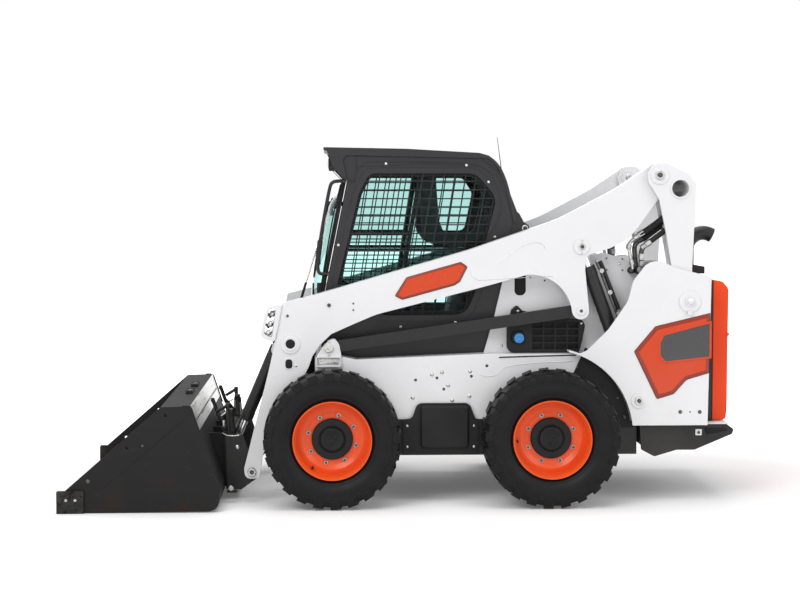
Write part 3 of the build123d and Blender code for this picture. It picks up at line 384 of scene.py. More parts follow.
def makeMetal(name, color, dull, rough, spread, stretch, level, bump, radius):
    # bare or plated metal: scuffed along `stretch`, brighter at its edges, dulled where dust settles
    material, tree, shader = startMaterial(name)
    scuffs = placeGroup(tree, scuffGroup, Stretch=stretch, Level=level)
    skin = placeGroup(tree, grainGroup, Size=420.0, Wave=9.0, Share=0.5)
    edge = placeGroup(tree, edgeGroup, Radius=radius, Amount=0.5, Breakup=90.0)
    base = blendColors(tree, scuffs["Mask"], color, dull)
    bright = blendColors(tree, edge["Mask"], base, tuple(min(1.0, c * 1.5 + 0.08) for c in color))
    dirt = placeGroup(tree, dustGroup, Clean=bright, Dust=(0.16, 0.13, 0.1, 1), Amount=0.25, Film=0.05, Top=0.6,
                      Scale=6.0)
    uneven = calc(tree, "MULTIPLY_ADD", scuffs["Mask"], spread, rough)
    plug(tree, shader, {
        "Base Color": dirt["Color"], "Roughness": calc(tree, "MULTIPLY_ADD", dirt["Mask"], 0.4, uneven, clamp=True),
        "Metallic": calc(tree, "SUBTRACT", 1.0, calc(tree, "MULTIPLY", dirt["Mask"], 1.4), clamp=True),
        "Normal": bumpFrom(tree, skin["Height"], bump, 0.0005, Normal=edge["Normal"])})
    return material


def makeBucketPaint(name):
    # dark paint that is scraped, and browned low down and along the bottom
    material, tree, shader = startMaterial(name)
    place = placeOf(tree)
    edge = placeGroup(tree, edgeGroup, Radius=0.003, Amount=0.7, Breakup=45.0)
    skin = placeGroup(tree, grainGroup, Size=260.0, Wave=5.0, Share=0.5)
    scuffs = placeGroup(tree, scuffGroup, Stretch=(9.0, 9.0, 24.0), Level=0.6)
    low = remap(tree, heightOf(tree, place), 0.02, 0.22, 1.0, 0.0)
    rust = calc(tree, "MULTIPLY", remap(tree, noiseAt(tree, place, 4.5, 7.0, 0.62), 0.46, 0.6),
                calc(tree, "MULTIPLY_ADD", low, 0.55, 0.1), clamp=True)
    paint = blendColors(tree, remap(tree, skin["Patch"], 0.3, 0.7), (0.0095, 0.0095, 0.0098), (0.0135, 0.0135, 0.014))
    browned = blendColors(tree, rust, paint, (0.032, 0.016, 0.01))
    scraped = blendColors(tree, calc(tree, "MULTIPLY", scuffs["Mask"], 0.12), browned, (0.08, 0.075, 0.07))
    rough = calc(tree, "MULTIPLY_ADD", rust, 0.2, 0.6)
    plug(tree, shader, {
        "Base Color": blendColors(tree, edge["Mask"], scraped, (0.14, 0.13, 0.12)), "Specular IOR Level": 0.22,
        "Roughness": calc(tree, "MULTIPLY_ADD", skin["Patch"], 0.1, rough),
        "Normal": bumpFrom(tree, skin["Height"], 0.25, 0.001, Normal=edge["Normal"])})
    return material


def makeTyreRubber(name):
    # matt black, greyer where the lugs' edges scuff
    material, tree, shader = startMaterial(name)
    edge = placeGroup(tree, edgeGroup, Radius=0.004, Amount=0.7, Breakup=50.0)
    skin = placeGroup(tree, grainGroup, Size=480.0, Wave=10.0, Share=0.8)
    worn = blendColors(tree, edge["Mask"], (0.0038, 0.0038, 0.004), (0.024, 0.023, 0.022))
    dirt = placeGroup(tree, dustGroup, Clean=worn, Dust=(0.08, 0.075, 0.07, 1), Amount=0.06, Film=0.006, Top=0.5,
                      Scale=9.0)
    plug(tree, shader, {
        "Base Color": dirt["Color"], "Roughness": remap(tree, skin["Patch"], 0.3, 0.7, 0.42, 0.6),
        "Specular IOR Level": 0.2, "Normal": bumpFrom(tree, skin["Height"], 0.35, Normal=edge["Normal"])})
    return material


def makeGlass(name):
    # blue-green cab glass with a few smears that dull it
    material, tree, shader = startMaterial(name)
    smear = noiseAt(tree, placeOf(tree), 7.0, 5.0)
    plug(tree, shader, {
        "Base Color": blendColors(tree, remap(tree, smear, 0.4, 0.7), (0.68, 0.885, 0.86), (0.65, 0.86, 0.835)),
        "Roughness": remap(tree, smear, 0.45, 0.75, 0.0, 0.05), "Transmission Weight": 1.0, "IOR": 1.12})
    return material


def makeLens(name, color, deep):
    # ribbed lamp lens
    material, tree, shader = startMaterial(name)
    ribs = addNode(tree, "ShaderNodeTexWave", {"Vector": placeOf(tree), "Scale": 45.0}, bands_direction="Z")
    ribs = ribs.outputs["Fac"]
    plug(tree, shader, {
        "Base Color": blendColors(tree, ribs, color, deep), "Roughness": 0.14, "Coat Weight": 0.5,
        "Normal": bumpFrom(tree, ribs, 0.4, 0.001)})
    return material


def makeSeatVinyl(name):
    # dark grained vinyl, paler where it is sat on
    material, tree, shader = startMaterial(name)
    place = placeOf(tree)
    cells = addNode(tree, "ShaderNodeTexVoronoi", {"Vector": place, "Scale": 420.0}).outputs["Distance"]
    patch = noiseAt(tree, place, 6.0, 4.0)
    plug(tree, shader, {
        "Base Color": blendColors(tree, remap(tree, patch, 0.35, 0.7), (0.028, 0.028, 0.03), (0.052, 0.051, 0.052)),
        "Roughness": remap(tree, patch, 0.3, 0.7, 0.42, 0.58), "Normal": bumpFrom(tree, cells, 0.3)})
    return material


paints = {
    # colour, colour under it, dust, film, mud, roughness, coat, grain, bump, wear, edge radius, shine
    "whitePaint": ((0.8, 0.8, 0.815), (0.3, 0.3, 0.3), (0.4, 0.36, 0.3), 0.03, 0.22, 0.3, 0.35, 220, 0.04, 0.35,
                   0.0025, 0.5),
    "charcoalPaint": ((0.0195, 0.0187, 0.0212), (0.16, 0.16, 0.16), (0.15, 0.14, 0.13), 0.035, 0.25, 0.42, 0.0, 380,
                      0.08, 0.3, 0.004, 0.32),
    "blackPaint": ((0.0085, 0.0085, 0.009), (0.16, 0.15, 0.14), (0.13, 0.12, 0.1), 0.03, 0.3, 0.4, 0.0, 300, 0.06,
                   0.4, 0.003, 0.35),
    "orangePaint": ((0.84, 0.058, 0.004), (0.35, 0.05, 0.02), (0.3, 0.16, 0.09), 0.015, 0.12, 0.32, 0.0, 240, 0.03,
                    0.25, 0.002, 0.3),
    "enginePaint": ((0.05, 0.052, 0.055), (0.3, 0.3, 0.3), (0.12, 0.1, 0.08), 0.2, 0.5, 0.55, 0.0, 160, 0.2, 0.4,
                    0.003, 0.35),
    "hubPaint": ((0.005, 0.005, 0.0054), (0.1, 0.1, 0.1), (0.1, 0.1, 0.09), 0.01, 0.06, 0.36, 0.0, 300, 0.06, 0.3,
                 0.003, 0.22),
    "blackPlastic": ((0.0095, 0.0095, 0.0098), (0.06, 0.06, 0.06), (0.12, 0.11, 0.1), 0.02, 0.12, 0.55, 0.0, 700,
                     0.25, 0.25, 0.0015, 0.25),
    "badgeOrange": ((0.64, 0.052, 0.005), (0.5, 0.06, 0.02), (0.3, 0.18, 0.1), 0.02, 0.0, 0.26, 0.0, 90, 0.02, 0.2,
                    0.001, 0.4),
    # a darker copy of the badge orange, for painted shade on the badge chamfers
    "badgeShade": ((0.3, 0.022, 0.003), (0.5, 0.06, 0.02), (0.3, 0.18, 0.1), 0.02, 0.0, 0.24, 0.0, 90, 0.02, 0.2,
                   0.001, 0.5),
    "badgeField": ((0.03, 0.03, 0.032), (0.1, 0.1, 0.1), (0.15, 0.15, 0.15), 0.02, 0.0, 0.24, 0.3, 500, 0.02, 0.2,
                   0.001, 0.5),
    # a lighter copy of the orange paint for the rims: painted light on their faces
    "rimPaintedLight": ((0.85, 0.092, 0.01), (0.35, 0.06, 0.02), (0.3, 0.16, 0.09), 0.015, 0.12, 0.3, 0.0, 240, 0.03, 0.25,
                 0.002, 0.4),
    "bluePlastic": ((0.04, 0.29, 0.7), (0.1, 0.2, 0.4), (0.2, 0.2, 0.2), 0.05, 0.0, 0.35, 0.2, 500, 0.1, 0.2, 0.001,
                    0.5),
    "hoseRubber": ((0.009, 0.009, 0.009), (0.05, 0.05, 0.05), (0.12, 0.11, 0.1), 0.06, 0.3, 0.62, 0.0, 900, 0.35,
                   0.2, 0.001, 0.35),
    "gasketRubber": ((0.007, 0.007, 0.0075), (0.04, 0.04, 0.04), (0.12, 0.12, 0.11), 0.03, 0.1, 0.7, 0.0, 600, 0.2,
                     0.2, 0.001, 0.3),
}
metals = {
    # colour, colour of the dull patches, roughness, its spread, scuff stretch, scuff level, bump, edge radius
    "chromeRod": ((0.72, 0.72, 0.74), (0.45, 0.44, 0.43), 0.09, 0.1, (60.0, 60.0, 60.0), 0.62, 0.03, 0.001),
    "zincSteel": ((0.56, 0.56, 0.55), (0.25, 0.24, 0.22), 0.3, 0.18, (90.0, 90.0, 90.0), 0.52, 0.15, 0.0008),
    "wornSteel": ((0.034, 0.034, 0.034), (0.017, 0.016, 0.015), 0.5, 0.3, (60.0, 60.0, 60.0), 0.5, 0.2, 0.002),
    "polishedSheet": ((0.78, 0.78, 0.77), (0.42, 0.4, 0.38), 0.32, 0.2, (40.0, 3.0, 40.0), 0.57, 0.12, 0.001),
    "darkSteel": ((0.1, 0.1, 0.1), (0.045, 0.04, 0.036), 0.36, 0.2, (70.0, 70.0, 70.0), 0.5, 0.2, 0.001),
}

looks = {name: makePaint(name, *row) for name, row in paints.items()}
looks.update({name: makeMetal(name, *row) for name, row in metals.items()})
for name, make in (("bucketPaint", makeBucketPaint), ("tyreRubber", makeTyreRubber), ("tintedGlass", makeGlass),
                   ("seatVinyl", makeSeatVinyl)):
    looks[name] = make(name)
looks["redLens"] = makeLens("redLens", (0.5, 0.014, 0.01), (0.28, 0.006, 0.005))
looks["clearLens"] = makeLens("clearLens", (0.8, 0.82, 0.84), (0.55, 0.57, 0.6))

# the look of each material slot of the record, then the slot of each look
slotLooks = {
    "white_paint": "whitePaint", "charcoal_paint": "charcoalPaint", "black_paint": "blackPaint",
    "bucket_paint": "bucketPaint", "orange_paint": "orangePaint", "engine_paint": "enginePaint",
    "black_plastic": "blackPlastic", "tinted_glass": "tintedGlass", "seat_vinyl": "seatVinyl",
    "red_lens": "redLens", "chrome_rod": "chromeRod", "worn_steel": "wornSteel", "tyre_rubber": "tyreRubber",
}
lookSlots = {look: slot for slot, look in slotLooks.items()}
lookSlots.update(
    hubPaint="black_paint", badgeOrange="orange_paint", badgeShade="orange_paint", badgeField="black_plastic",
    bluePlastic="black_plastic", hoseRubber="black_plastic", gasketRubber="black_plastic", zincSteel="chrome_rod",
    polishedSheet="chrome_rod", darkSteel="worn_steel", clearLens="tinted_glass")
for entry in frame["record"]["subparts"]:
    node = frame["nodes"][entry["node"]]
    node.data.materials.clear()
    # the rims take the lighter copy of the orange, as painted light
    look = "rimPaintedLight" if entry["node"].startswith("rim_") else slotLooks[entry["material_slot"]]
    node.data.materials.append(looks[look])
print("materials ready:", len(looks))


# geometry trees for what repeats or follows a path

def geometryTree(name, inputs):
    through = [("Geometry", "Geometry")]
    return newTree(name, "GeometryNodeTree", through + inputs, through)


def endTree(tree, geometry, material, end):
    # every tree ends in real geometry with its material
    real = addNode(tree, "GeometryNodeRealizeInstances", {0: geometry}).outputs[0]
    painted = addNode(tree, "GeometryNodeSetMaterial", {"Geometry": real, "Material": material})
    plug(tree, end, {"Geometry": painted.outputs[0]})
    return tree


def makeRingTree():
    # repeats one item round the Y axis, then moves the ring to its centre
    tree, given, end = geometryTree(
        "Ring Of Items", [("Count", "Int"), ("Start", "Float"), ("Centre", "Vector"), ("Material", "Material")])
    points = addNode(tree, "GeometryNodePoints", {"Count": given["Count"]})
    index = addNode(tree, "GeometryNodeInputIndex")
    pitch = calc(tree, "DIVIDE", 2 * math.pi, given["Count"])
    angle = calc(tree, "MULTIPLY_ADD", index.outputs[0], pitch, given["Start"])
    spin = addNode(tree, "FunctionNodeAxisAngleToRotation", {"Axis": (0.0, 1.0, 0.0), "Angle": angle})
    items = addNode(tree, "GeometryNodeInstanceOnPoints",
                    {"Points": points.outputs[0], "Instance": given["Geometry"], "Rotation": spin.outputs[0]})
    ring = addNode(tree, "GeometryNodeTransform", {"Geometry": items.outputs[0], "Translation": given["Centre"]})
    return endTree(tree, ring.outputs[0], given["Material"], end)


def makeFastenerTree():
    # puts one fastener at each point, turned to face its stored direction
    tree, given, end = geometryTree("Fasteners", [("Head", "Object"), ("Material", "Material")])
    head = addNode(tree, "GeometryNodeObjectInfo", {"Object": given["Head"]})
    facing = addNode(tree, "GeometryNodeInputNamedAttribute", {"Name": "facing"}, data_type="FLOAT_VECTOR")
    size = addNode(tree, "GeometryNodeInputNamedAttribute", {"Name": "size"}, data_type="FLOAT")
    turn = addNode(tree, "FunctionNodeAlignRotationToVector", {"Vector": facing.outputs[0]}, axis="Y")
    items = addNode(tree, "GeometryNodeInstanceOnPoints",
                    {"Points": given["Geometry"], "Instance": head.outputs["Geometry"],
                     "Rotation": turn.outputs[0], "Scale": size.outputs[0]})
    return endTree(tree, items.outputs[0], given["Material"], end)


def makePipeTree(smooth):
    # sweeps a round section along the piece's own edges
    label = "Bent Pipe" if smooth else "Straight Wire"
    tree, given, end = geometryTree(label, [("Radius", "Float"), ("Sides", "Int"), ("Material", "Material")])
    line = addNode(tree, "GeometryNodeMeshToCurve", {0: given["Geometry"]}).outputs[0]
    if smooth:
        line = addNode(tree, "GeometryNodeCurveSplineType", {0: line}, spline_type="CATMULL_ROM").outputs[0]
        line = addNode(tree, "GeometryNodeSetSplineResolution", {0: line, "Resolution": 8}).outputs[0]
    section = addNode(tree, "GeometryNodeCurvePrimitiveCircle",
                      {"Resolution": given["Sides"], "Radius": given["Radius"]})
    swept = addNode(tree, "GeometryNodeCurveToMesh", {"Curve": line, "Profile Curve": section.outputs[0],
                                                      "Fill Caps": True})
    return endTree(tree, swept.outputs[0], given["Material"], end)


ringTree, fastenerTree = makeRingTree(), makeFastenerTree()
bentTree, wireTree = makePipeTree(True), makePipeTree(False)


def applied(piece, modifier):
    # leaves what the modifier makes as a plain mesh
    bpy.context.view_layer.update()
    mesh = bpy.data.meshes.new_from_object(piece.evaluated_get(bpy.context.evaluated_depsgraph_get()))
    piece.modifiers.remove(modifier)
    piece.data = mesh
    return piece


def runTree(piece, tree, **values):
    # applies a tree with its named inputs
    modifier = piece.modifiers.new(tree.name, "NODES")
    modifier.node_group = tree
    sockets = {item.name: item.identifier for item in tree.interface.items_tree if item.in_out == "INPUT"}
    for label, value in values.items():
        modifier[sockets[label]] = value
    return applied(piece, modifier)


def outward(piece):
    bm = bmesh.new()
    bm.from_mesh(piece.data)
    if bm.calc_volume(signed=True) < 0:
        bmesh.ops.reverse_faces(bm, faces=bm.faces)
    bm.to_mesh(piece.data)
    bm.free()
    return piece


def lineObject(name, paths):
    points, edges = [], []
    for path in paths:
        edges += [(len(points) + i, len(points) + i + 1) for i in range(len(path) - 1)]
        points += [tuple(point) for point in path]
    mesh = bpy.data.meshes.new(name)
    mesh.from_pydata(points, edges, [])
    return newObject(name, mesh)


def pipes(name, paths, radius, body, look, sides=12, smooth=True):
    # one piece made of several tubes, each along its list of points
    piece = lineObject(name, paths)
    runTree(piece, bentTree if smooth else wireTree, Radius=radius, Sides=sides, Material=looks[look])
    return settle(outward(piece), body, look, smooth=40)


heads = {
    "hex": joined(turned([(0, 0), (1.45, 0), (1.45, 0.12), (1.38, 0.18), (0, 0.18)], 20),
                  turned([(0, 0.1), (1.0, 0.1), (1.0, 0.66), (0.86, 0.8), (0, 0.8)], 6)),
    "dome": turned([(0, 0), (1.0, 0), (1.0, 0.1), (0.86, 0.34), (0.55, 0.5), (0, 0.56)], 18),
    "socket": turned([(0, 0), (1.0, 0), (1.0, 0.66), (0.92, 0.76), (0.56, 0.76), (0.52, 0.3), (0, 0.3)], 16),
    "stud": joined(turned([(0, 0), (1.55, 0), (1.55, 0.1), (1.4, 0.3), (0, 0.3)], 24),
                   turned([(0, 0.2), (1.0, 0.2), (1.0, 0.85), (0.88, 0.98), (0.5, 0.98), (0, 0.98)], 6)),
}
headObjects = {kind: newObject("head" + kind.capitalize(), meshFrom(kind, shape)) for kind, shape in heads.items()}


def fasteners(name, rows, kind, body, look):
    # rows of (x, y, z, facing vector, size)
    mesh = bpy.data.meshes.new(name)
    mesh.from_pydata([row[:3] for row in rows], [], [])
    mesh.attributes.new("facing", "FLOAT_VECTOR", "POINT")
    mesh.attributes.new("size", "FLOAT", "POINT")
    mesh.attributes["facing"].data.foreach_set("vector", [part for row in rows for part in row[3]])
    mesh.attributes["size"].data.foreach_set("value", [row[4] for row in rows])
    piece = newObject(name, mesh)
    runTree(piece, fastenerTree, Head=headObjects[kind], Material=looks[look])
    return settle(piece, body, look, smooth=35)


def bothSides(rows):
    # the near side is written down; the far side is its mirror image
    result = []
    for x, y, z, facing, size in rows:
        result += [(x, y, z, facing, size), (x, -y, z, (facing[0], -facing[1], facing[2]), size)]
    return result


left = (0.0, -1.0, 0.0)
sideWords = ((-1, "left"), (1, "right"))
# how far out the flat faces lie that most details sit on
armFace, tubFace, tailFace, innerFace = 0.585, 0.56, 0.64, 0.46
print("trees ready")


# tyres: a turned carcass with two staggered rows of lugs

tyreValues = {
    "lugCount": 24, "treadFloor": 0.3855, "lugTop": 0.3996, "shoulderFoot": 0.35, "halfWidth": 0.1488,
    "middle": 0.75,
}
carcass = [
    (0.2155, -0.104), (0.236, -0.109), (0.25, -0.124), (0.2545, -0.1262), (0.258, -0.1262), (0.275, -0.14),
    (0.3, -0.147), (0.318, -0.1474), (0.334, -0.1466), (0.3355, -0.148), (0.3375, -0.148), (0.339, -0.1462),
    (0.345, -0.1456), (0.3465, -0.1474), (0.349, -0.1474), (0.3505, -0.145), (0.366, -0.143), (0.38, -0.134),
    (0.385, -0.114), (0.387, -0.055), (0.388, 0.0),
]
lugOutline = [
    (-0.032, 0.006), (-0.01, -0.006), (0.01, 0.004), (0.027, 0.045), (0.034, 0.09), (0.038, 0.128), (0.038, 0.1476),
    (-0.018, 0.1476), (-0.02, 0.122), (-0.022, 0.088), (-0.028, 0.048),
]


def lugShape():
    # one lug of the +Y row, at the top of the wheel, its foot a little wider than its face
    top, foot = [], []
    centreAlong = sum(p[0] for p in lugOutline) / len(lugOutline)
    for along, across in lugOutline:
        outer = across > 0.125
        angle = along / tyreValues["lugTop"]
        wide = (centreAlong + (along - centreAlong) * 1.14) / tyreValues["lugTop"]
        topRadius = tyreValues["lugTop"] - (0.006 if across > 0.14 else 0.0)
        footRadius = tyreValues["shoulderFoot"] if outer else tyreValues["treadFloor"] - 0.004
        topAcross = across - (0.0035 if across > 0.14 else 0.0)
        footAcross = tyreValues["halfWidth"] if across > 0.14 else across
        top.append(Vector((topRadius * math.sin(angle), topAcross, topRadius * math.cos(angle))))
        foot.append(Vector((footRadius * math.sin(wide), footAcross, footRadius * math.cos(wide))))
    count = len(top)
    faces = [list(range(count)), list(range(2 * count - 1, count - 1, -1))]
    for i in range(count):
        after = (i + 1) % count
        faces.append([i, i + count, after + count, after])
    return top + foot, faces


def buildTyre(corner, centre, turn):
    lug = lugShape()
    pitch = 2 * math.pi / tyreValues["lugCount"]
    other = moved(mirrored(lug), Matrix.Rotation(pitch / 2, 4, "Y"))
    lugs = newObject("lugs", meshFrom("lugs", joined(lug, other)))
    runTree(lugs, ringTree, Count=tyreValues["lugCount"], Start=turn, Centre=(0.0, 0.0, 0.0),
            Material=looks["tyreRubber"])
    profile = carcass + [(radius, -along) for radius, along in carcass[-2::-1]]
    bm = bmesh.new()
    bm.from_mesh(lugs.data)
    ring = meshFrom("ring", turned(profile, 128, closed=True))
    bm.from_mesh(ring)
    bmesh.ops.translate(bm, vec=centre, verts=bm.verts)
    mesh = bpy.data.meshes.new("tyre")
    bm.to_mesh(mesh)
    bm.free()
    bpy.data.objects.remove(lugs)
    piece = newObject(f"tyre_{corner}_lugged", mesh)
    settle(piece, f"wheel_{corner}", "tyreRubber", smooth=28)
    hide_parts(f"tyre_{corner}")


hubValues = {
    "flangeRadius": 0.12, "capRadius": 0.0675, "face": 0.0185, "flange": 0.035, "cap": 0.0475,
    "nutCircle": 0.143, "nutSize": 0.0088, "nuts": 8, "valveRadius": 0.2, "valveFoot": 0.026, "knobRing": 0.019,
}


def buildHub(corner, side, centre, start, valveAngle):
    v = hubValues
    flange = turned([(0, v["face"] - 0.012), (v["flangeRadius"], v["face"] - 0.012),
                     (v["flangeRadius"], v["flange"] - 0.004), (v["flangeRadius"] - 0.004, v["flange"]),
                     (0.08, v["flange"] + 0.0005), (0.0765, v["flange"] - 0.004), (0.072, v["flange"] - 0.003),
                     (0.0685, v["flange"] + 0.004), (v["capRadius"], v["cap"] - 0.002),
                     (v["capRadius"] - 0.004, v["cap"]), (0.052, v["cap"] - 0.001), (0.048, v["cap"] - 0.0035),
                     (0, v["cap"] - 0.003)], 64)
    knobs = [shifted(turned([(0, 0.0), (0.011, 0.0), (0.011, 0.004), (0.008, 0.006), (0, 0.006)], 16),
                     v["knobRing"] * math.cos(a), v["cap"] - 0.0045, v["knobRing"] * math.sin(a))
             for a in (0.4, 2.5, 4.6)]
    hub = shifted(onSide(joined(flange, *knobs), side), *centre)
    build(f"hub_{corner}", hub, f"wheel_{corner}", "hubPaint", smooth=40)
    for label, look, shape in (
            ("nut_rings", "zincSteel", turned([(0.58, 0.0), (1.6, 0.0), (1.6, 0.25), (1.25, 0.62), (0.92, 0.66),
                                               (0.88, 0.2), (0.58, 0.2)], 24, closed=True)),
            ("nuts", "darkSteel", joined(turned([(0, 0), (1.0, 0), (1.0, 0.85), (0.86, 1.0), (0, 1.0)], 6),
                                         turned([(0, 0.9), (0.5, 0.9), (0.5, 1.35), (0.4, 1.45), (0, 1.45)], 12)))):
        item = moved(shape, Matrix.Translation((v["nutCircle"], v["face"], 0)) @ Matrix.Scale(v["nutSize"], 4))
        piece = newObject(f"{label}_{corner}", meshFrom(label, onSide(item, side)))
        runTree(piece, ringTree, Count=v["nuts"], Start=-start, Centre=tuple(centre), Material=looks[look])
        settle(piece, f"wheel_{corner}", look, smooth=35)
    stem = turned([(0, 0), (0.0065, 0), (0.0065, 0.012), (0.005, 0.014), (0.005, 0.034), (0.0062, 0.035),
                   (0.0062, 0.046), (0.0045, 0.048), (0, 0.048)], 16)
    stem = moved(stem, Matrix.Translation((v["valveRadius"] * math.cos(valveAngle), v["valveFoot"],
                                           v["valveRadius"] * math.sin(valveAngle))))
    build(f"valve_{corner}", shifted(onSide(stem, side), *centre), f"wheel_{corner}", "gasketRubber")


wheelRows = [("front_left", -1), ("front_right", 1), ("rear_left", -1), ("rear_right", 1)]
axles = {}
for corner, side in wheelRows:
    low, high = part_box(f"rim_{corner}")
    centre = ((low.x + high.x) / 2, side * tyreValues["middle"], (low.z + high.z) / 2)
    axles[corner] = Vector(centre)
    front = corner.startswith("front")
    buildTyre(corner, centre, 0.06 if front else 0.17)
    buildHub(corner, side, centre, math.radians(30 if front else 22.5), math.radians(235 if front else 184.6))
print("wheels built")


# cab: window guards, rubber frames, bars, seams and rain channel

frontAxle, rearAxle = axles["front_left"].x, axles["rear_left"].x
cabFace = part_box("cab_shell")[1].y
cabValues = {
    "windowOutline": [
        (frontAxle + 0.03, 1.275, 0.03), (frontAxle + 0.162, 1.826, 0.12), (frontAxle + 0.225, 1.945, 0.06),
        (frontAxle + 0.86, 1.945, 0.11), (frontAxle + 0.985, 1.8, 0.11), (frontAxle + 0.935, 1.6, 0.06),
        (frontAxle + 0.86, 1.245, 0.06), (frontAxle + 0.8, 1.098, 0.11), (frontAxle + 0.306, 1.098, 0.06),
    ],
    "wireGapX": 0.064, "wireGapZ": 0.052, "wireRadius": 0.0042, "wireLean": 0.16,
    "guardPlane": cabFace - 0.01,
}


def insideSpan(outline, start, direction):
    # where a line crosses a closed outline, as sorted distances along the line
    hits = []
    for first, second in zip(outline, outline[1:] + outline[:1]):
        edge = second - first
        cross = direction.x * edge.y - direction.y * edge.x
        if abs(cross) < 1e-9:
            continue
        gap = first - start
        along = (gap.x * edge.y - gap.y * edge.x) / cross
        share = (gap.x * direction.y - gap.y * direction.x) / cross
        if 0 <= share < 1:
            hits.append(along)
    hits.sort()
    return list(zip(hits[::2], hits[1::2]))


def wireGuard(outline, plane, lean, gapX, gapZ):
    # crossing wires cut to an outline; uprights lean back with the cab's front edge
    paths = []
    lowX, highX = min(p.x for p in outline) - 0.4, max(p.x for p in outline) + 0.2
    lowZ, highZ = min(p.y for p in outline), max(p.y for p in outline)
    z = lowZ + gapZ * 0.4
    while z < highZ:
        for a, b in insideSpan(outline, Vector((lowX, z)), Vector((1, 0))):
            paths.append([(lowX + a, plane, z), (lowX + b, plane, z)])
        z += gapZ
    x = lowX
    step = Vector((lean, 1.0)).normalized()
    while x < highX:
        for a, b in insideSpan(outline, Vector((x, lowZ - 0.05)), step):
            if b - a > 0.03:
                first, last = Vector((x, lowZ - 0.05)) + step * a, Vector((x, lowZ - 0.05)) + step * b
                paths.append([(first.x, plane + 0.005, first.y), (last.x, plane + 0.005, last.y)])
        x += gapX
    return paths


def outlineBand(outline, low, high, y0, y1):
    # a frame strip that follows an outline, from `low` outside it to `high` inside it
    points = rounded(outline, 6)
    count = len(points)
    area = sum(points[i - 1].x * points[i].y - points[i].x * points[i - 1].y for i in range(count))
    turn = 1 if area > 0 else -1
    rails = []
    for offset, y in ((low, y0), (low, y1), (high, y1), (high, y0)):
        rail = []
        for i in range(count):
            tangent = (points[(i + 1) % count] - points[i - 1]).normalized()
            normal = Vector((tangent.y, -tangent.x)) * turn
            p = points[i] + normal * offset
            rail.append(Vector((p.x, y, p.y)))
        rails.append(rail)
    faces = []
    for r in range(4):
        for i in range(count):
            a, b = r * count, ((r + 1) % 4) * count
            faces.append([a + i, a + (i + 1) % count, b + (i + 1) % count, b + i])
    return [p for rail in rails for p in rail], faces


windowPoints = rounded(cabValues["windowOutline"], 6)
for side, word in sideWords:
    plane = side * cabValues["guardPlane"]
    wires = wireGuard(windowPoints, plane, cabValues["wireLean"], cabValues["wireGapX"], cabValues["wireGapZ"])
    pipes(f"window_guard_{word}", wires, cabValues["wireRadius"], "chassis", "blackPaint", sides=6, smooth=False)
    rubber = outlineBand(cabValues["windowOutline"], -0.018, 0.003, cabFace - 0.032, cabFace - 0.016)
    build(f"window_rubber_{word}", onSide(rubber, side), "chassis", "gasketRubber")
    lip = outlineBand(cabValues["windowOutline"], 0.034, 0.04, cabFace - 0.004, cabFace + 0.0022)
    build(f"window_lip_{word}", onSide(lip, side), "chassis", "charcoalPaint")

barValues = {
    "depth": (cabFace - 0.062, cabFace - 0.036), "high": 1.5853, "highHalf": 0.011, "low": 1.4875, "lowHalf": 0.01,
    # the broad inner post, and the rounded rear window cut in it
    "post": [(0.118, 1.955, 0.0), (0.128, 1.6, 0.06), (0.185, 1.515, 0.08), (0.5, 1.5, 0.03), (0.56, 1.64, 0.03),
             (0.6, 1.8, 0.1), (0.47, 1.955, 0.06)],
    "opening": [(0.212, 1.938, 0.03), (0.2325, 1.665, 0.05), (0.262, 1.59, 0.045), (0.44, 1.59, 0.05),
                (0.492, 1.835, 0.06), (0.425, 1.934, 0.06)],
    "postThickness": 0.022, "postFrom": cabFace - 0.066,
}


def leaningBar(x0, z0, x1, z1, width, low, high):
    return plateShape([(x0 - width / 2, z0, 0), (x1 - width / 2, z1, 0), (x1 + width / 2, z1, 0),
                       (x0 + width / 2, z0, 0)], low, high, 0.003)


for side, word in sideWords:
    low, high = barValues["depth"]
    level, half = barValues["high"], barValues["highHalf"]
    upper = rectangle(frontAxle + 0.085, level - half, frontAxle + 0.475, level + half, 0.006)
    level, half = barValues["low"], barValues["lowHalf"]
    lower = rectangle(frontAxle + 0.05, level - half, frontAxle + 0.915, level + half, 0.005)
    bars = joined(plateShape(upper, low, high, 0.003), plateShape(lower, low, high, 0.003),
                  leaningBar(0.0314, 1.418, 0.1228, 1.955, 0.026, low, high),
                  leaningBar(-0.005, 1.1, 0.038, 1.44, 0.026, low, high))
    build(f"window_bars_{word}", onSide(bars, side), "chassis", "blackPlastic")
    bm = bmesh.new()
    loops = []
    for outline in (barValues["post"], barValues["opening"]):
        loop = [bm.verts.new((p.x, 0, p.y)) for p in rounded(outline, 6)]
        loops.append([bm.edges.new((a, b)) for a, b in zip(loop, loop[1:] + loop[:1])])
    filled = bmesh.ops.triangle_fill(bm, edges=loops[0] + loops[1], use_beauty=True)
    faces = [item for item in filled["geom"] if isinstance(item, bmesh.types.BMFace)]
    grown = bmesh.ops.extrude_face_region(bm, geom=faces)
    lifted = [item for item in grown["geom"] if isinstance(item, bmesh.types.BMVert)]
    bmesh.ops.translate(bm, vec=(0, barValues["postThickness"], 0), verts=lifted)
    bmesh.ops.translate(bm, vec=(0, barValues["postFrom"], 0), verts=bm.verts)
    build(f"rear_quarter_panel_{word}", onSide(shapeOf(bm), side), "chassis", "blackPlastic")

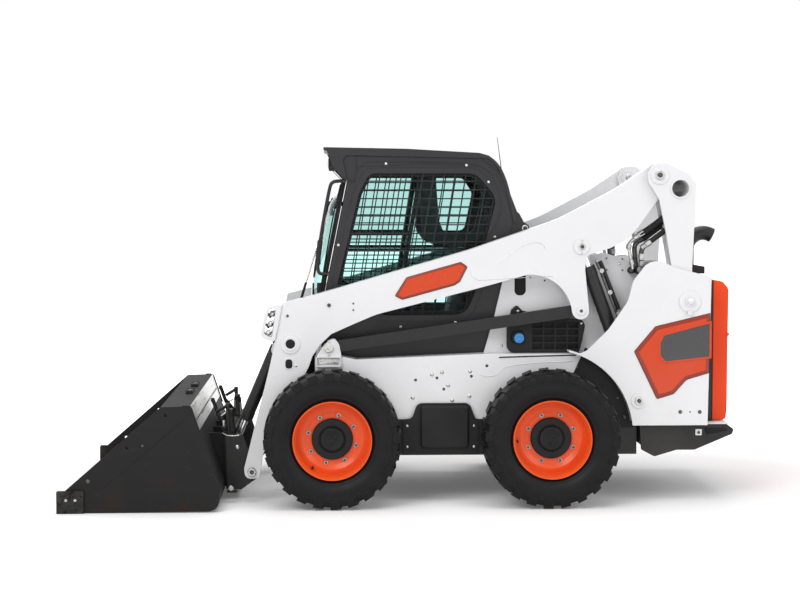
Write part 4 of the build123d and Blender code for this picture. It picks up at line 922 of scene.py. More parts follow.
# seams and a rain channel on the cab's outside
for side, word in sideWords:
    y = side * (cabFace + 0.0005)
    seams = [
        [(-0.263, side * 0.4415, 2.058), (-0.262, side * 0.4415, 1.95)],
        [(-0.414, side * 0.4502, 1.985), (-0.345, side * 0.4502, 1.916), (-0.27, side * 0.4502, 1.899)],
        [(frontAxle + 0.15, y, 1.985), (frontAxle + 0.54, y, 2.0), (frontAxle + 0.88, y, 1.987)],
        [(frontAxle + 0.93, y, 2.0), (frontAxle + 1.0, y, 1.905), (frontAxle + 1.052, y, 1.76),
         (frontAxle + 1.078, y, 1.66), (frontAxle + 1.06, y, 1.56), (frontAxle + 0.985, y, 1.3)],
    ]
    pipes(f"cab_seams_{word}", seams, 0.0022, "chassis", "charcoalPaint", sides=8)
    ledge = [(frontAxle + 0.9, y, 2.024), (frontAxle + 0.985, y, 1.965), (frontAxle + 1.048, y, 1.85),
             (frontAxle + 1.085, y, 1.73), (frontAxle + 1.106, y, 1.64)]
    pipes(f"cab_rain_channel_{word}", [ledge], 0.0045, "chassis", "charcoalPaint", sides=8)

cabBolts = bothSides([(x, -cabFace, z, left, 0.0088) for x, z in (
    (-0.0864, 2.0023), (0.3941, 1.9937), (0.5266, 1.8938), (-0.3712, 1.5178), (0.5653, 1.5648),
    (0.0007, 1.0288), (0.3295, 1.0538))])
fasteners("cab_bolts", cabBolts, "dome", "chassis", "zincSteel")

# the rear pivot ears of the cab, with their bright pins
earX, earZ = rearAxle - 0.12, 1.618
ear = turned([(0, -0.024), (0.019, -0.024), (0.019, 0.003), (0.016, 0.005), (0, 0.005)], 28)
build("cab_pivot_pins", paired(ear, earX, cabFace, earZ), "chassis", "zincSteel")
fasteners("cab_pivot_bolts", bothSides([(earX, -cabFace - 0.005, earZ, left, 0.0085)]), "hex", "chassis", "darkSteel")
print("cab side built")


# front door: bowed glass, wiper, latch; the grab rail and seal strips stay on the cab

doorValues = {
    "foot": (frontAxle - 0.089, 1.09), "knee": (frontAxle - 0.061, 1.25), "head": (frontAxle + 0.062, 1.84),
    "halfWidth": 0.34, "bow": 0.064, "thickness": 0.005, "across": 24, "up": 30,
}


def doorPlane(z):
    foot, knee, head = doorValues["foot"], doorValues["knee"], doorValues["head"]
    low, high = (foot, knee) if z < knee[1] else (knee, head)
    return low[0] + (high[0] - low[0]) * (z - low[1]) / (high[1] - low[1])


def bowedGlass():
    v = doorValues
    points, faces = [], []
    rowLength = v["across"] + 1
    for back in (0, 1):
        for j in range(v["up"] + 1):
            share = j / v["up"]
            z = v["foot"][1] + (v["head"][1] - v["foot"][1]) * share
            rise = min(1.0, 9.0 * min(share, 1 - share)) ** 0.5 if 0 < share < 1 else 0.0
            for i in range(rowLength):
                y = v["halfWidth"] * (2 * i / v["across"] - 1)
                out = v["bow"] * rise * (1 - (y / v["halfWidth"]) ** 4)
                points.append(Vector((doorPlane(z) - out + back * v["thickness"], y, z)))
    sheet = rowLength * (v["up"] + 1)
    for j in range(v["up"]):
        for i in range(v["across"]):
            a = j * rowLength + i
            quad = [a, a + 1, a + 1 + rowLength, a + rowLength]
            faces.append(quad)
            faces.append([q + sheet for q in quad[::-1]])
    rim = list(range(rowLength)) + [j * rowLength + v["across"] for j in range(1, v["up"] + 1)]
    rim += [v["up"] * rowLength + i for i in range(v["across"] - 1, -1, -1)]
    rim += [j * rowLength for j in range(v["up"] - 1, 0, -1)]
    for a, b in zip(rim, rim[1:] + rim[:1]):
        faces.append([a, a + sheet, b + sheet, b])
    return points, faces


glass = build("door_glass_bowed", bowedGlass(), "front_door", "tintedGlass", smooth=60)
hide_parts("door_glass")
edgeLine = [(doorPlane(z) - 0.003, y, z) for y, z in (
    (-0.338, 1.095), (0.338, 1.095), (0.338, 1.835), (-0.338, 1.835), (-0.338, 1.095))]
pipes("door_glass_rubber", [edgeLine], 0.008, "front_door", "gasketRubber", sides=8, smooth=False)
motor = joined(slab((-0.415, -0.05, 1.735), (-0.368, 0.05, 1.8), 0.01),
               shifted(turned([(0, -0.012), (0.02, -0.012), (0.02, 0.012), (0, 0.012)], 20), -0.418, 0.0, 1.76),
               slab((-0.432, -0.014, 1.69), (-0.404, 0.014, 1.742), 0.004))
build("wiper_motor", motor, "front_door", "blackPlastic")
wiperArm = [[(-0.428, 0.0, 1.762), (-0.447, -0.02, 1.7), (-0.48, -0.07, 1.56), (-0.505, -0.11, 1.44)],
            [(-0.438, 0.01, 1.735), (-0.463, -0.005, 1.64), (-0.492, -0.05, 1.52)]]
pipes("wiper_arm", wiperArm, 0.0055, "front_door", "blackPlastic", sides=8)
blade = [[(-0.478, -0.1, 1.56), (-0.502, -0.11, 1.44), (-0.52, -0.118, 1.31)]]
pipes("wiper_blade", blade, 0.008, "front_door", "gasketRubber", sides=6)
latch = joined(slab((-0.5, -0.384, 1.17), (-0.47, -0.345, 1.29), 0.006),
               slab((-0.522, -0.38, 1.195), (-0.498, -0.35, 1.215), 0.004),
               slab((-0.528, -0.378, 1.195), (-0.516, -0.352, 1.29), 0.005))
build("door_latch", latch, "front_door", "blackPlastic")

railValues = {"y": -0.415, "radius": 0.0105, "sleeve": 0.0055}
rail = [(-0.33, 1.8985), (-0.37, 1.899), (-0.405, 1.89), (-0.423, 1.85), (-0.456, 1.68), (-0.4812, 1.5277),
        (-0.492, 1.44), (-0.493, 1.375), (-0.48, 1.348), (-0.4452, 1.3443), (-0.418, 1.344)]
pipes("grab_rail_left", [atDepth(rail, railValues["y"])], railValues["radius"], "chassis", "blackPaint")
sleeve = [(-0.479, 1.545), (-0.4812, 1.5277), (-0.492, 1.44), (-0.4928, 1.4)]
pipes("grab_rail_sleeve", [atDepth(sleeve, railValues["y"])], railValues["radius"] + railValues["sleeve"], "chassis",
      "hoseRubber")
slim = [(-0.352, 1.88), (-0.395, 1.7), (-0.432, 1.5), (-0.462, 1.32), (-0.482, 1.19)]
pipes("door_seal_strips", [[(x - 0.004, -0.398, z) for x, z in slim], [(x + 0.012, -0.404, z) for x, z in slim]],
      0.0045, "chassis", "gasketRubber", sides=8)
fasteners("grab_rail_bolts", [(-0.336, -0.426, 1.8985, left, 0.008), (-0.43, -0.426, 1.344, left, 0.008)],
          "socket", "chassis", "darkSteel")

markerValues = {"y": -0.39, "foot": (-0.5874, 1.2162), "tip": (-0.4998, 1.5002), "turns": 18, "points": 150,
                "coilRadius": 0.006}
v = markerValues
whip = [v["foot"], (-0.542, 1.365), v["tip"]]
holder = [(-0.65, 1.0), (-0.59, 1.208), (-0.565, 1.293)]
pipes("marker_rod", [atDepth(whip, v["y"])], 0.0042, "lift_arm", "polishedSheet", sides=10)
pipes("marker_holder", [atDepth(holder, v["y"])], 0.0085, "lift_arm", "blackPlastic", sides=10)
coil = []
for step in range(v["points"]):
    share = step / (v["points"] - 1)
    angle = share * 2 * math.pi * v["turns"]
    along = Vector((v["foot"][0], v["y"], v["foot"][1])).lerp(Vector((v["tip"][0], v["y"], v["tip"][1])), share)
    coil.append((along.x + v["coilRadius"] * math.cos(angle), along.y + v["coilRadius"] * math.sin(angle), along.z))
pipes("marker_coil", [coil], 0.0016, "lift_arm", "hoseRubber", sides=6)
print("door built")


# pins: a bright washer with its bolt, and a keeper tab

# how far past the washer the middle of each keeper tab lies
tabReach = 0.015
pinRows = [
    # name, body, x, z, y of the face, washer radius, bolt size, look of the bolt, keeper angle in degrees
    ("pin_b", "rear_links", 1.521, 1.933, 0.6325, 0.027, 0.012, "darkSteel", None),
    ("pin_f", "lift_arm", 1.0687, 1.5107, 0.5935, 0.021, 0.0115, "darkSteel", 90),
    ("pin_c", "lift_arm", 1.0662, 1.1303, 0.5855, 0.017, 0.0105, "darkSteel", None),
    ("pin_d", "chassis", -0.429, 0.914, 0.5845, 0.026, 0.0115, "zincSteel", 270),
    ("pin_e", "chassis", 1.404, 0.601, 0.6525, 0.023, 0.012, "darkSteel", None),
    ("pin_p", "lift_arm", -0.885, 0.18, 0.594, 0.024, 0.012, "darkSteel", None),
]
for name, body, x, z, face, radius, size, look, keeper in pinRows:
    washer = [turned([(radius * 0.5, -0.01), (radius, -0.01), (radius, 0.003), (radius * 0.94, 0.0045),
                      (radius * 0.56, 0.0045), (radius * 0.5, 0.003)], 32, closed=True)]
    for sign in () if keeper is None else (-1, 1):
        a = math.radians(keeper)
        reach = radius + tabReach
        dx, dz = math.cos(a) * sign, math.sin(a) * sign
        washer.append(slab((dx * reach - 0.006, -0.002, dz * reach - 0.005),
                           (dx * reach + 0.006, 0.0035, dz * reach + 0.005), 0.0015))
    build(f"{name}_washers", paired(joined(*washer), x, face, z), body, "zincSteel")
    bolts = bothSides([(x, -face - 0.0005, z, left, size)])
    fasteners(f"{name}_bolts", bolts, "stud" if look == "zincSteel" else "hex", body, look)
capRows = bothSides([(1.703, -0.669, 1.19, left, 0.02)])
fasteners("pin_a_caps", capRows, "dome", "chassis", "whitePaint")
build("pin_a_tabs", paired(slab((-0.012, -0.004, -0.014), (0.012, 0.004, 0.012), 0.002), 1.701, 0.6555, 1.123),
      "chassis", "whitePaint")


# small bolts and sockets, on both sides

boltRows = {
    "tub_bolts": ("dome", "chassis", "zincSteel", tubFace, 0.0115, [
        (0.182, 0.754), (0.242, 0.766), (0.279, 0.689), (0.068, 0.616), (0.303, 0.6), (0.406, 0.623),
        (0.409, 0.772)]),
    "tub_sockets": ("socket", "chassis", "darkSteel", 0.552, 0.0088, [
        (0.085, 0.72), (0.212, 0.732), (0.253, 0.665), (0.417, 0.741), (0.509, 0.803)]),
    "inner_plate_sockets": ("socket", "chassis", "darkSteel", innerFace, 0.0055, [
        (1.2343, 1.4378), (1.3295, 1.4334), (1.2348, 1.3682), (1.33, 1.3663), (0.7761, 1.324), (0.8627, 1.3047)]),
    "inner_plate_bolts": ("dome", "chassis", "zincSteel", innerFace, 0.0095, [
        (1.3117, 1.4047), (1.1747, 1.4208), (0.6058, 0.9157)]),
    "rear_panel_bolts": ("hex", "chassis", "darkSteel", tailFace, 0.008, [(1.6514, 0.5327), (1.7678, 0.5321)]),
    "rear_panel_rivets": ("dome", "chassis", "darkSteel", tailFace, 0.0048, [(1.7105, 0.5324)]),
    "cover_screws": ("dome", "chassis", "zincSteel", 0.5805, 0.0085, [
        (0.034, 0.4483), (0.034, 0.3245), (0.432, 0.4483), (0.432, 0.3245)]),
    "grille_bolts": ("dome", "chassis", "zincSteel", 0.5, 0.0085, [(0.699, 1.125), (1.08, 1.05)]),
    "arm_sockets": ("socket", "lift_arm", "darkSteel", armFace, 0.0078, [(-0.6714, 1.105)]),
    "arm_ports": ("socket", "lift_arm", "darkSteel", armFace, 0.011, [(-0.427, 1.1675)]),
    "arm_small_ports": ("socket", "lift_arm", "darkSteel", armFace, 0.0055, [(-0.2838, 1.1773), (-0.2839, 1.1389)]),
    "arm_bolts": ("dome", "lift_arm", "zincSteel", armFace, 0.0085, [(-0.6224, 0.8104)]),
    "bucket_side_bolts": ("dome", "bucket", "darkSteel", 0.925, 0.008, [(-1.4907, 0.3861)]),
    "coupler_bolts": ("dome", "bucket", "zincSteel", 0.5955, 0.013, [(-0.97, 0.33)]),
}
for name, (kind, body, look, face, size, spots) in boltRows.items():
    fasteners(name, bothSides([(x, -face, z, left, size) for x, z in spots]), kind, body, look)

armSlot = [(-0.685, 0.793, 0.02), (-0.685, 0.848, 0.02), (-0.643, 0.848, 0.02), (-0.643, 0.793, 0.02)]
# a dark plate fills each arm slot: painted shade in the opening
build("arm_slots", paired(plateShape(armSlot, 0.5835, 0.5862, 0.0008)), "lift_arm", "gasketRubber")
build("arm_slot_rims", paired(outlineBand(armSlot, 0.0, 0.006, 0.5838, 0.5875)), "lift_arm", "whitePaint")
armHole = (-0.655, armFace, 0.939)
holeRim = turned([(0.03, -0.004), (0.046, -0.004), (0.046, 0.0055), (0.042, 0.0075), (0.033, 0.0075),
                  (0.03, 0.005)], 40, closed=True)
build("arm_hole_rims", paired(holeRim, *armHole), "lift_arm", "whitePaint")
print("pins and bolts built")


# raised lines pressed into the arm and the tub side; the arm's lines are grey metal, painted shade along their folds

lineValues = {
    "arm": [[(0.5679, 1.418), (0.6943, 1.502), (0.7849, 1.534), (0.835, 1.523), (0.85, 1.495)],
            [(0.4046, 1.378), (0.415, 1.34), (0.45, 1.3165), (0.5, 1.314), (0.8202, 1.334), (0.9, 1.333)]],
    "tub": [[(0.4681, 0.751), (0.498, 0.742), (0.5277, 0.7407), (0.567, 0.7507), (0.6, 0.78),
             (0.636, 0.799), (0.7939, 0.8191), (1.0219, 0.8278)]],
    "sill": [[(0.581, 0.853), (0.8, 0.86), (1.0402, 0.865)]],
}
# the arm's lines take a grey metal as painted shade along the folds
for key, body, face, radius, look in (("arm", "lift_arm", armFace, 0.0014, "zincSteel"),
                                      ("tub", "chassis", tubFace, 0.0024, "whitePaint"),
                                      ("sill", "chassis", tubFace, 0.004, "gasketRubber")):
    for side, word in sideWords:
        paths = [atDepth(line, side * face) for line in lineValues[key]]
        pipes(f"{key}_lines_{word}", paths, radius, body, look, sides=8)


# cast badges, left bare: dark backing, chamfered orange body in a darker orange that paints shade on its bevel, sunk
# dark field

badgeValues = {
    "arm": {"face": armFace, "body": "lift_arm", "depth": 0.008, "chamfer": 0.011,
            "outer": [(-0.036, 1.222, 0.008), (0.031, 1.329, 0.014), (0.35, 1.419, 0.012), (0.388, 1.393, 0.01),
                      (0.345, 1.307, 0.01), (0.314, 1.286, 0.014), (0.005, 1.201, 0.012)]},
    "rear": {"face": tailFace, "body": "chassis", "depth": 0.011, "chamfer": 0.02,
             "outer": [(1.376, 0.893, 0.012), (1.5, 1.039, 0.02), (1.8225, 1.116, 0.002), (1.819, 0.766, 0.002),
                       (1.685, 0.726, 0.05), (1.61, 0.642, 0.04), (1.512, 0.612, 0.012)],
             "field": [(1.5273, 0.945, 0.01), (1.55, 0.989, 0.014), (1.82, 1.06, 0.002), (1.82, 0.862, 0.002),
                       (1.5581, 0.834, 0.014), (1.5273, 0.87, 0.01)]},
}


def insetOutline(outline, amount):
    # the same corners moved in by `amount`, each along its mitre, with its rounding cut down to suit
    corners = [Vector(corner[:2]) for corner in outline]
    count = len(corners)
    area = sum(corners[i - 1].cross(corners[i]) for i in range(count))
    turn = 1 if area > 0 else -1
    result = []
    for index, corner in enumerate(corners):
        before = (corner - corners[index - 1]).normalized()
        after = (corners[(index + 1) % count] - corner).normalized()
        mitre = Vector((-before.y - after.y, before.x + after.x)) * turn
        mitre /= mitre.dot(Vector((-after.y, after.x)) * turn)
        spot = corner + mitre * amount
        result.append((spot.x, spot.y, max(outline[index][2] - amount * 0.5, 0.0015)))
    return result


def chamferedPlate(outline, foot, levels):
    # levels of (inset, y) from the outer edge inwards, closed by a flat front and back
    rings = [rounded(insetOutline(outline, inset), 4) for inset, _ in levels]
    count = len(rings[0])
    points = [Vector((p.x, foot, p.y)) for p in rings[0]]
    for ring, (_, y) in zip(rings, levels):
        points += [Vector((p.x, y, p.y)) for p in ring]
    faces = [list(range(count))]
    for level in range(len(levels)):
        a, b = level * count, (level + 1) * count
        faces += [[a + i, a + (i + 1) % count, b + (i + 1) % count, b + i] for i in range(count)]
    faces.append([len(levels) * count + i for i in range(count)])
    return points, faces


for key, v in badgeValues.items():
    face, top = v["face"], v["face"] + v["depth"]
    for side, word in sideWords:
        backing = chamferedPlate(v["outer"], face - 0.001, [(-0.003, face + 0.0015), (-0.002, face + 0.0025)])
        build(f"{key}_badge_backing_{word}", onSide(backing, side), v["body"], "blackPlastic")
        # the chamfered shell takes the darker orange: painted shade on the bevel
        shell = chamferedPlate(v["outer"], face - 0.001, [(0.0, face + 0.003), (v["chamfer"], top),
                                                          (v["chamfer"] + 0.008, top)])
        build(f"{key}_badge_{word}", onSide(shell, side), v["body"], "badgeShade")
        inner = insetOutline(v["outer"], v["chamfer"] + 0.001)
        front = chamferedPlate(inner, top - 0.001, [(0.0, top + 0.0006), (0.002, top + 0.0016), (0.004, top + 0.0016)])
        build(f"{key}_badge_front_{word}", onSide(front, side), v["body"], "badgeOrange")
        if key == "rear":
            lip = chamferedPlate(v["field"], top, [(-0.012, top + 0.003), (-0.008, top + 0.005), (0.0, top + 0.005)])
            build(f"{key}_badge_lip_{word}", onSide(lip, side), v["body"], "badgeOrange")
            field = chamferedPlate(v["field"], top, [(0.001, top + 0.0054), (0.004, top + 0.0064),
                                                     (0.006, top + 0.0064)])
            build(f"{key}_badge_field_{word}", onSide(field, side), v["body"], "badgeField")
print("badges built")


# hydraulic lines on the rear tower, between the upright and the rear link

hoseValues = {"radius": 0.016, "depths": {"upper": 0.507, "middle": 0.482, "lower": 0.538}}
hosePaths = {
    "upper": [(1.625, 1.735), (1.59, 1.7), (1.545, 1.662), (1.485, 1.617), (1.425, 1.579)],
    "middle": [(1.635, 1.708), (1.598, 1.668), (1.555, 1.63), (1.498, 1.588), (1.448, 1.552)],
    "lower": [(1.635, 1.685), (1.6, 1.638), (1.56, 1.598), (1.51, 1.56), (1.462, 1.525)],
}
tubePaths = {
    "upper": [(1.428, 1.581), (1.395, 1.56), (1.364, 1.528), (1.36, 1.5), (1.37, 1.45), (1.382, 1.4), (1.385, 1.375)],
    "middle": [(1.45, 1.554), (1.415, 1.535), (1.399, 1.505), (1.4, 1.46), (1.406, 1.4)],
    "lower": [(1.464, 1.527), (1.44, 1.505), (1.43, 1.475), (1.43, 1.43), (1.432, 1.39)],
}
for side, word in sideWords:
    for key, depth in hoseValues["depths"].items():
        path = atDepth(hosePaths[key], side * depth)
        hose = lineObject(f"tower_hose_{key}_{word}", [path])
        runTree(hose, bentTree, Radius=hoseValues["radius"] * (1.25 if key == "upper" else 1.0), Sides=14,
                Material=looks["hoseRubber"])
        outward(hose)
        hose.data.shade_smooth()
        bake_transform(hose)
        radius, look = (0.0105, "zincSteel") if key == "upper" else (0.015, "darkSteel")
        pipes(f"tower_tube_{key}_{word}", [atDepth(tubePaths[key], side * depth)], radius, "chassis", look,
              sides=12)
    collars = []
    for x, z, depth, size, lean in ((1.433, 1.585, 0.507, 0.0215, 58), (1.403, 1.566, 0.507, 0.016, 58),
                                    (1.469, 1.531, 0.538, 0.02, 55), (1.442, 1.51, 0.538, 0.017, 55),
                                    (1.36, 1.508, 0.505, 0.0165, 10), (1.43, 1.448, 0.538, 0.021, 0),
                                    (1.431, 1.408, 0.538, 0.0185, 0), (1.379, 1.412, 0.505, 0.015, -14)):
        nut = turned([(0, -0.9), (0.88, -0.9), (1.0, -0.75), (1.0, 0.75), (0.88, 0.9), (0, 0.9)], 6)
        turn = Matrix.Rotation(math.radians(90), 4, "X")
        tip = Matrix.Rotation(math.radians(lean), 4, "Y")
        nut = moved(nut, Matrix.Translation((x, depth, z)) @ tip @ turn @ Matrix.Scale(size, 4))
        collars.append(onSide(nut, side))
    build(f"tower_fittings_{word}", joined(*collars), "chassis", "zincSteel")
    valve = [shifted(turned([(0, -0.03), (0.03, -0.03), (0.032, -0.026), (0.032, 0.022), (0.027, 0.028),
                             (0, 0.028)], 28), 1.432, 0.49, 1.371)]
    for radius, x, z in ((0.02, 1.3764, 1.3662), (0.018, 1.4866, 1.395)):
        valve.append(shifted(turned([(0, -0.02), (radius, -0.02), (radius, 0.018), (radius - 0.004, 0.022),
                                     (0, 0.022)], 24), x, 0.49, z))
    valve.append(slab((1.378, 0.462, 1.352), (1.49, 0.482, 1.386), 0.004))
    build(f"tower_valve_{word}", onSide(joined(*valve), side), "chassis", "blackPaint")
fasteners("tower_valve_caps", bothSides([(1.432, -0.518, 1.371, left, 0.015)]), "stud", "chassis", "zincSteel")
fasteners("tower_valve_bolts", bothSides([(1.3764, -0.512, 1.3662, left, 0.008),
                                          (1.4866, -0.512, 1.395, left, 0.008)]), "hex", "chassis", "darkSteel")

# the lines clipped along each lift cylinder's barrel
barrelLine = [(1.164, 1.418), (1.185, 1.37), (1.226, 1.265), (1.279, 1.131), (1.334, 0.99), (1.38, 0.87)]
for side, word in sideWords:
    pipes(f"barrel_line_{word}", [atDepth(barrelLine, side * 0.54)], 0.0095, "lift_barrels", "darkSteel")
    pipes(f"barrel_sleeve_{word}", [[(x + 0.02, side * 0.536, z + 0.006) for x, z in barrelLine[:4]]], 0.011,
          "lift_barrels", "hoseRubber")
clampRows = []
for share in (0.12, 0.42, 0.72):
    spot = [a + (b - a) * share for a, b in zip(barrelLine[0], barrelLine[4])]
    clampRows.append((spot[0] + 0.008, -0.552, spot[1], left, 0.0095))
fasteners("barrel_clamps", bothSides(clampRows), "hex", "lift_barrels", "zincSteel")
print("hydraulic lines built")


# bucket: bright back sheet with its slots as dark strips of painted shade, rolled edges, folded creases drawn as dark
# lines of painted shade, wear tips, steps

bucketValues = {
    "top": (-1.22, 0.6128), "foot": (-1.1718, 0.466), "lift": 0.0022, "halfWidth": 0.915,
    "slotCount": 18, "slotLength": 0.056, "slotShare": 0.6, "slotHeight": 0.01,
    "crease": [(-1.707, 0.153), (-1.476, 0.348), (-1.245, 0.542)], "creaseRadius": 0.0022,
}
slopeTop, slopeFoot = Vector(bucketValues["top"]), Vector(bucketValues["foot"])
slope = (slopeFoot - slopeTop).normalized()
slopeOut = Vector((-slope.y, slope.x))


def onSlope(share, height, thickness, yLow, yHigh, lift=0.0):
    # a thin strip on the bucket's sloping back, `share` of the way down the bright sheet
    middle = slopeTop.lerp(slopeFoot, share) + slopeOut * lift
    corners = [middle - slope * height / 2, middle + slope * height / 2]
    corners += [corners[1] + slopeOut * thickness, corners[0] + slopeOut * thickness]
    return plateShape([(p.x, p.y, 0.0) for p in corners], yLow, yHigh, 0.0)


sheetHeight = (slopeFoot - slopeTop).length
half = bucketValues["halfWidth"]
build("bucket_back_sheet", onSlope(0.5, sheetHeight, bucketValues["lift"], -half, half), "bucket", "polishedSheet")
pitch = 2 * (half - 0.06) / bucketValues["slotCount"]
slots = []
for index in range(bucketValues["slotCount"]):
    low = -half + 0.06 + pitch * index + (pitch - bucketValues["slotLength"]) / 2
    slots.append(onSlope(bucketValues["slotShare"], bucketValues["slotHeight"], 0.0012, low,
                         low + bucketValues["slotLength"], bucketValues["lift"]))
# the slots are dark strips laid on the sheet: painted shade
build("bucket_back_slots", joined(*slots), "bucket", "gasketRubber")
pipes("bucket_rolled_edge", [[(-1.224, -0.924, 0.611), (-1.224, 0.924, 0.611)]], 0.005, "bucket",
      "bucketPaint", sides=10, smooth=False)
farEdge = [(-1.264, 0.611), (-1.23, 0.611), (-1.215, 0.601), (-1.205, 0.575), (-1.155, 0.425)]
pipes("bucket_side_rims", bothLines(farEdge, 0.921), 0.0065, "bucket", "bucketPaint", sides=10)
# a dark line along each folded crease: painted shade
for side, word in sideWords:
    pipes(f"bucket_crease_{word}", [atDepth(bucketValues["crease"], side * 0.9252)], bucketValues["creaseRadius"],
          "bucket", "gasketRubber", sides=8, smooth=False)
studs = [shifted(turned([(0, 0), (0.0078, 0), (0.0078, 0.0006), (0, 0.0006)], 20), x, 0.9395, 0.0777)
         for x in (-1.9256, -1.8735)]
build("wear_tip_bolts", paired(joined(*studs)), "bucket", "zincSteel")
steps, treads = [], []
for y in (-0.27, 0.12):
    steps.append(slab((-1.3, y, 0.603), (-1.256, y + 0.014, 0.633), 0.002))
    steps.append(slab((-1.3, y + 0.126, 0.603), (-1.256, y + 0.14, 0.633), 0.002))
    steps.append(slab((-1.296, y + 0.014, 0.606), (-1.26, y + 0.126, 0.626), 0.002))
    treads.append(slab((-1.287, y + 0.014, 0.625), (-1.269, y + 0.126, 0.629), 0.001))
build("bucket_step_ends", joined(*steps), "bucket", "blackPaint")
build("bucket_step_treads", joined(*treads), "bucket", "darkSteel")


# quick coupler: locking levers, spring pods and their links

couplerValues = {"levers": 0.4, "podFoot": (-1.018, 0.4), "podHead": (-1.023, 0.522)}


def between(start, end, profile, steps=20):
    # a turned profile whose axis runs from start to end
    start, end = Vector(start), Vector(end)
    turn = Vector((0, 1, 0)).rotation_difference(end - start).to_matrix().to_4x4()
    return moved(turned(profile, steps), Matrix.Translation(start) @ turn)


def rod(start, end, radius, steps=12):
    reach = (Vector(end) - Vector(start)).length
    return between(start, end, [(0, 0), (radius, 0), (radius, reach), (0, reach)], steps)


# rods: piece, start (x, y, z), end (x, y, z), radius, sides; every y is out from the lever's middle
couplerRods = [
    ("coupler_levers", (-1.096, -0.04, 0.495), (-1.127, -0.04, 0.582), 0.0115, 14),
    ("coupler_levers", (-1.096, -0.04, 0.498), (-1.042, -0.012, 0.425), 0.014, 14),
    ("coupler_spring_pods", (-1.098, 0.03, 0.524), (-1.034, 0.055, 0.562), 0.01, 12),
    ("coupler_spring_pods", (-1.03, 0.055, 0.4), (-1.034, 0.055, 0.556), 0.012, 12),
    ("coupler_links", (-1.06, -0.012, 0.43), (-1.064, -0.012, 0.464), 0.0105, 6),
    ("coupler_links", (-1.076, -0.03, 0.49), (-1.048, -0.03, 0.508), 0.006, 10),
    ("coupler_links", (-1.038, -0.06, 0.452), (-1.038, -0.06, 0.5), 0.006, 10),
    ("coupler_links", (-1.0, -0.034, 0.408), (-1.004, -0.034, 0.482), 0.0048, 10),
]
# blocks: piece, low x, high x, y of the middle, half width, low z, high z, edge rounding
couplerBlocks = [
    ("coupler_spring_pods", -1.042, -1.006, 0.0, 0.026, 0.506, 0.535, 0.006),
    ("coupler_spring_pods", -1.074, -1.012, 0.0, 0.01, 0.39, 0.43, 0.004),
    ("coupler_levers", -1.14, -1.118, -0.04, 0.016, 0.572, 0.596, 0.006),
    ("coupler_spring_pods", -1.048, -1.022, 0.057, 0.014, 0.548, 0.576, 0.005),
]
podShape = [(0, -0.01), (0.036, -0.01), (0.036, 0.014), (0.026, 0.04), (0.023, 0.112), (0.016, 0.12), (0, 0.12)]
couplerLooks = {"coupler_spring_pods": "blackPaint", "coupler_levers": "blackPlastic", "coupler_links": "zincSteel"}
couplerBits = {piece: [] for piece in couplerLooks}
for side in (-1, 1):
    y = side * couplerValues["levers"]
    foot, head = couplerValues["podFoot"], couplerValues["podHead"]
    couplerBits["coupler_spring_pods"].append(between((foot[0], y, foot[1]), (head[0], y, head[1]), podShape, 24))
    for piece, start, end, radius, steps in couplerRods:
        ends = [(p[0], y + side * p[1], p[2]) for p in (start, end)]
        couplerBits[piece].append(rod(*ends, radius, steps))
    for piece, x0, x1, out, half, z0, z1, bevel in couplerBlocks:
        middle = y + side * out
        couplerBits[piece].append(slab((x0, middle - half, z0), (x1, middle + half, z1), bevel))
for piece, bits in couplerBits.items():
    build(piece, joined(*bits), "bucket", couplerLooks[piece])
strap = [(-1.0575, 0.4163), (-1.035, 0.402), (-1.008, 0.3975), (-0.98, 0.398), (-0.9587, 0.4025)]
pipes("coupler_edges", bothLines(strap, 0.596), 0.003, "bucket", "zincSteel", sides=8)
wornFoot = [(-1.033, 0.06, 0.002), (-0.979, 0.058, 0.002), (-0.968, 0.069, 0.002), (-1.033, 0.072, 0.002)]
build("coupler_worn_feet", paired(plateShape(wornFoot, 0.56, 0.5962, 0.0005)), "bucket", "wornSteel")
fasteners("coupler_foot_pins", bothSides([(-1.008, -0.5955, 0.086, left, 0.01)]), "stud", "bucket", "zincSteel")
print("bucket and coupler built")


# auxiliary couplers inside their guard

auxValues = {
    "y": -0.55, "axis": (-0.833, 0.0, -0.553), "middles": [(-0.768, 1.111), (-0.78, 1.051), (-0.793, 0.997)],
}
axis = Vector(auxValues["axis"])
shells, collars = [], []
for x, z in auxValues["middles"]:
    foot = Vector((x, auxValues["y"], z)) - axis * 0.02
    shells.append(between(foot, foot + axis, [(0, -0.012), (0.012, -0.012), (0.0125, 0.0), (0.0175, 0.002),
                                              (0.0185, 0.006), (0.0185, 0.018), (0.017, 0.021), (0.012, 0.022),
                                              (0.012, 0.03), (0, 0.03)], 26))
    collars.append(between(foot, foot + axis, [(0.01, 0.026), (0.015, 0.026), (0.016, 0.028), (0.016, 0.036),
                                               (0.015, 0.039), (0.008, 0.039), (0.008, 0.034), (0, 0.034)], 22))
build("aux_coupler_shells", joined(*shells), "lift_arm", "zincSteel")
build("aux_coupler_collars", joined(*collars), "lift_arm", "darkSteel")
spine = plateShape([(-0.742, 1.139, 0.003), (-0.726, 1.136, 0.003), (-0.752, 0.972, 0.003),
                    (-0.769, 0.979, 0.003)], -0.582, -0.512, 0.002)
build("aux_manifold", spine, "lift_arm", "darkSteel")
auxHoses = [
    [(-0.735, -0.545, 1.115), (-0.7, -0.53, 1.108), (-0.66, -0.47, 1.085), (-0.64, -0.44, 1.03)],
    [(-0.748, -0.545, 1.055), (-0.715, -0.52, 1.045), (-0.68, -0.47, 1.03), (-0.66, -0.44, 0.985)]]
pipes("aux_hoses", auxHoses, 0.0085, "lift_arm", "hoseRubber")
holePlug = turned([(0, 0), (0.0305, 0), (0.0305, 0.0022), (0, 0.0022)], 32)
build("arm_hole_plugs", paired(holePlug, *armHole), "lift_arm", "gasketRubber")


# cooler caps, fender liners and the cab's rear corners

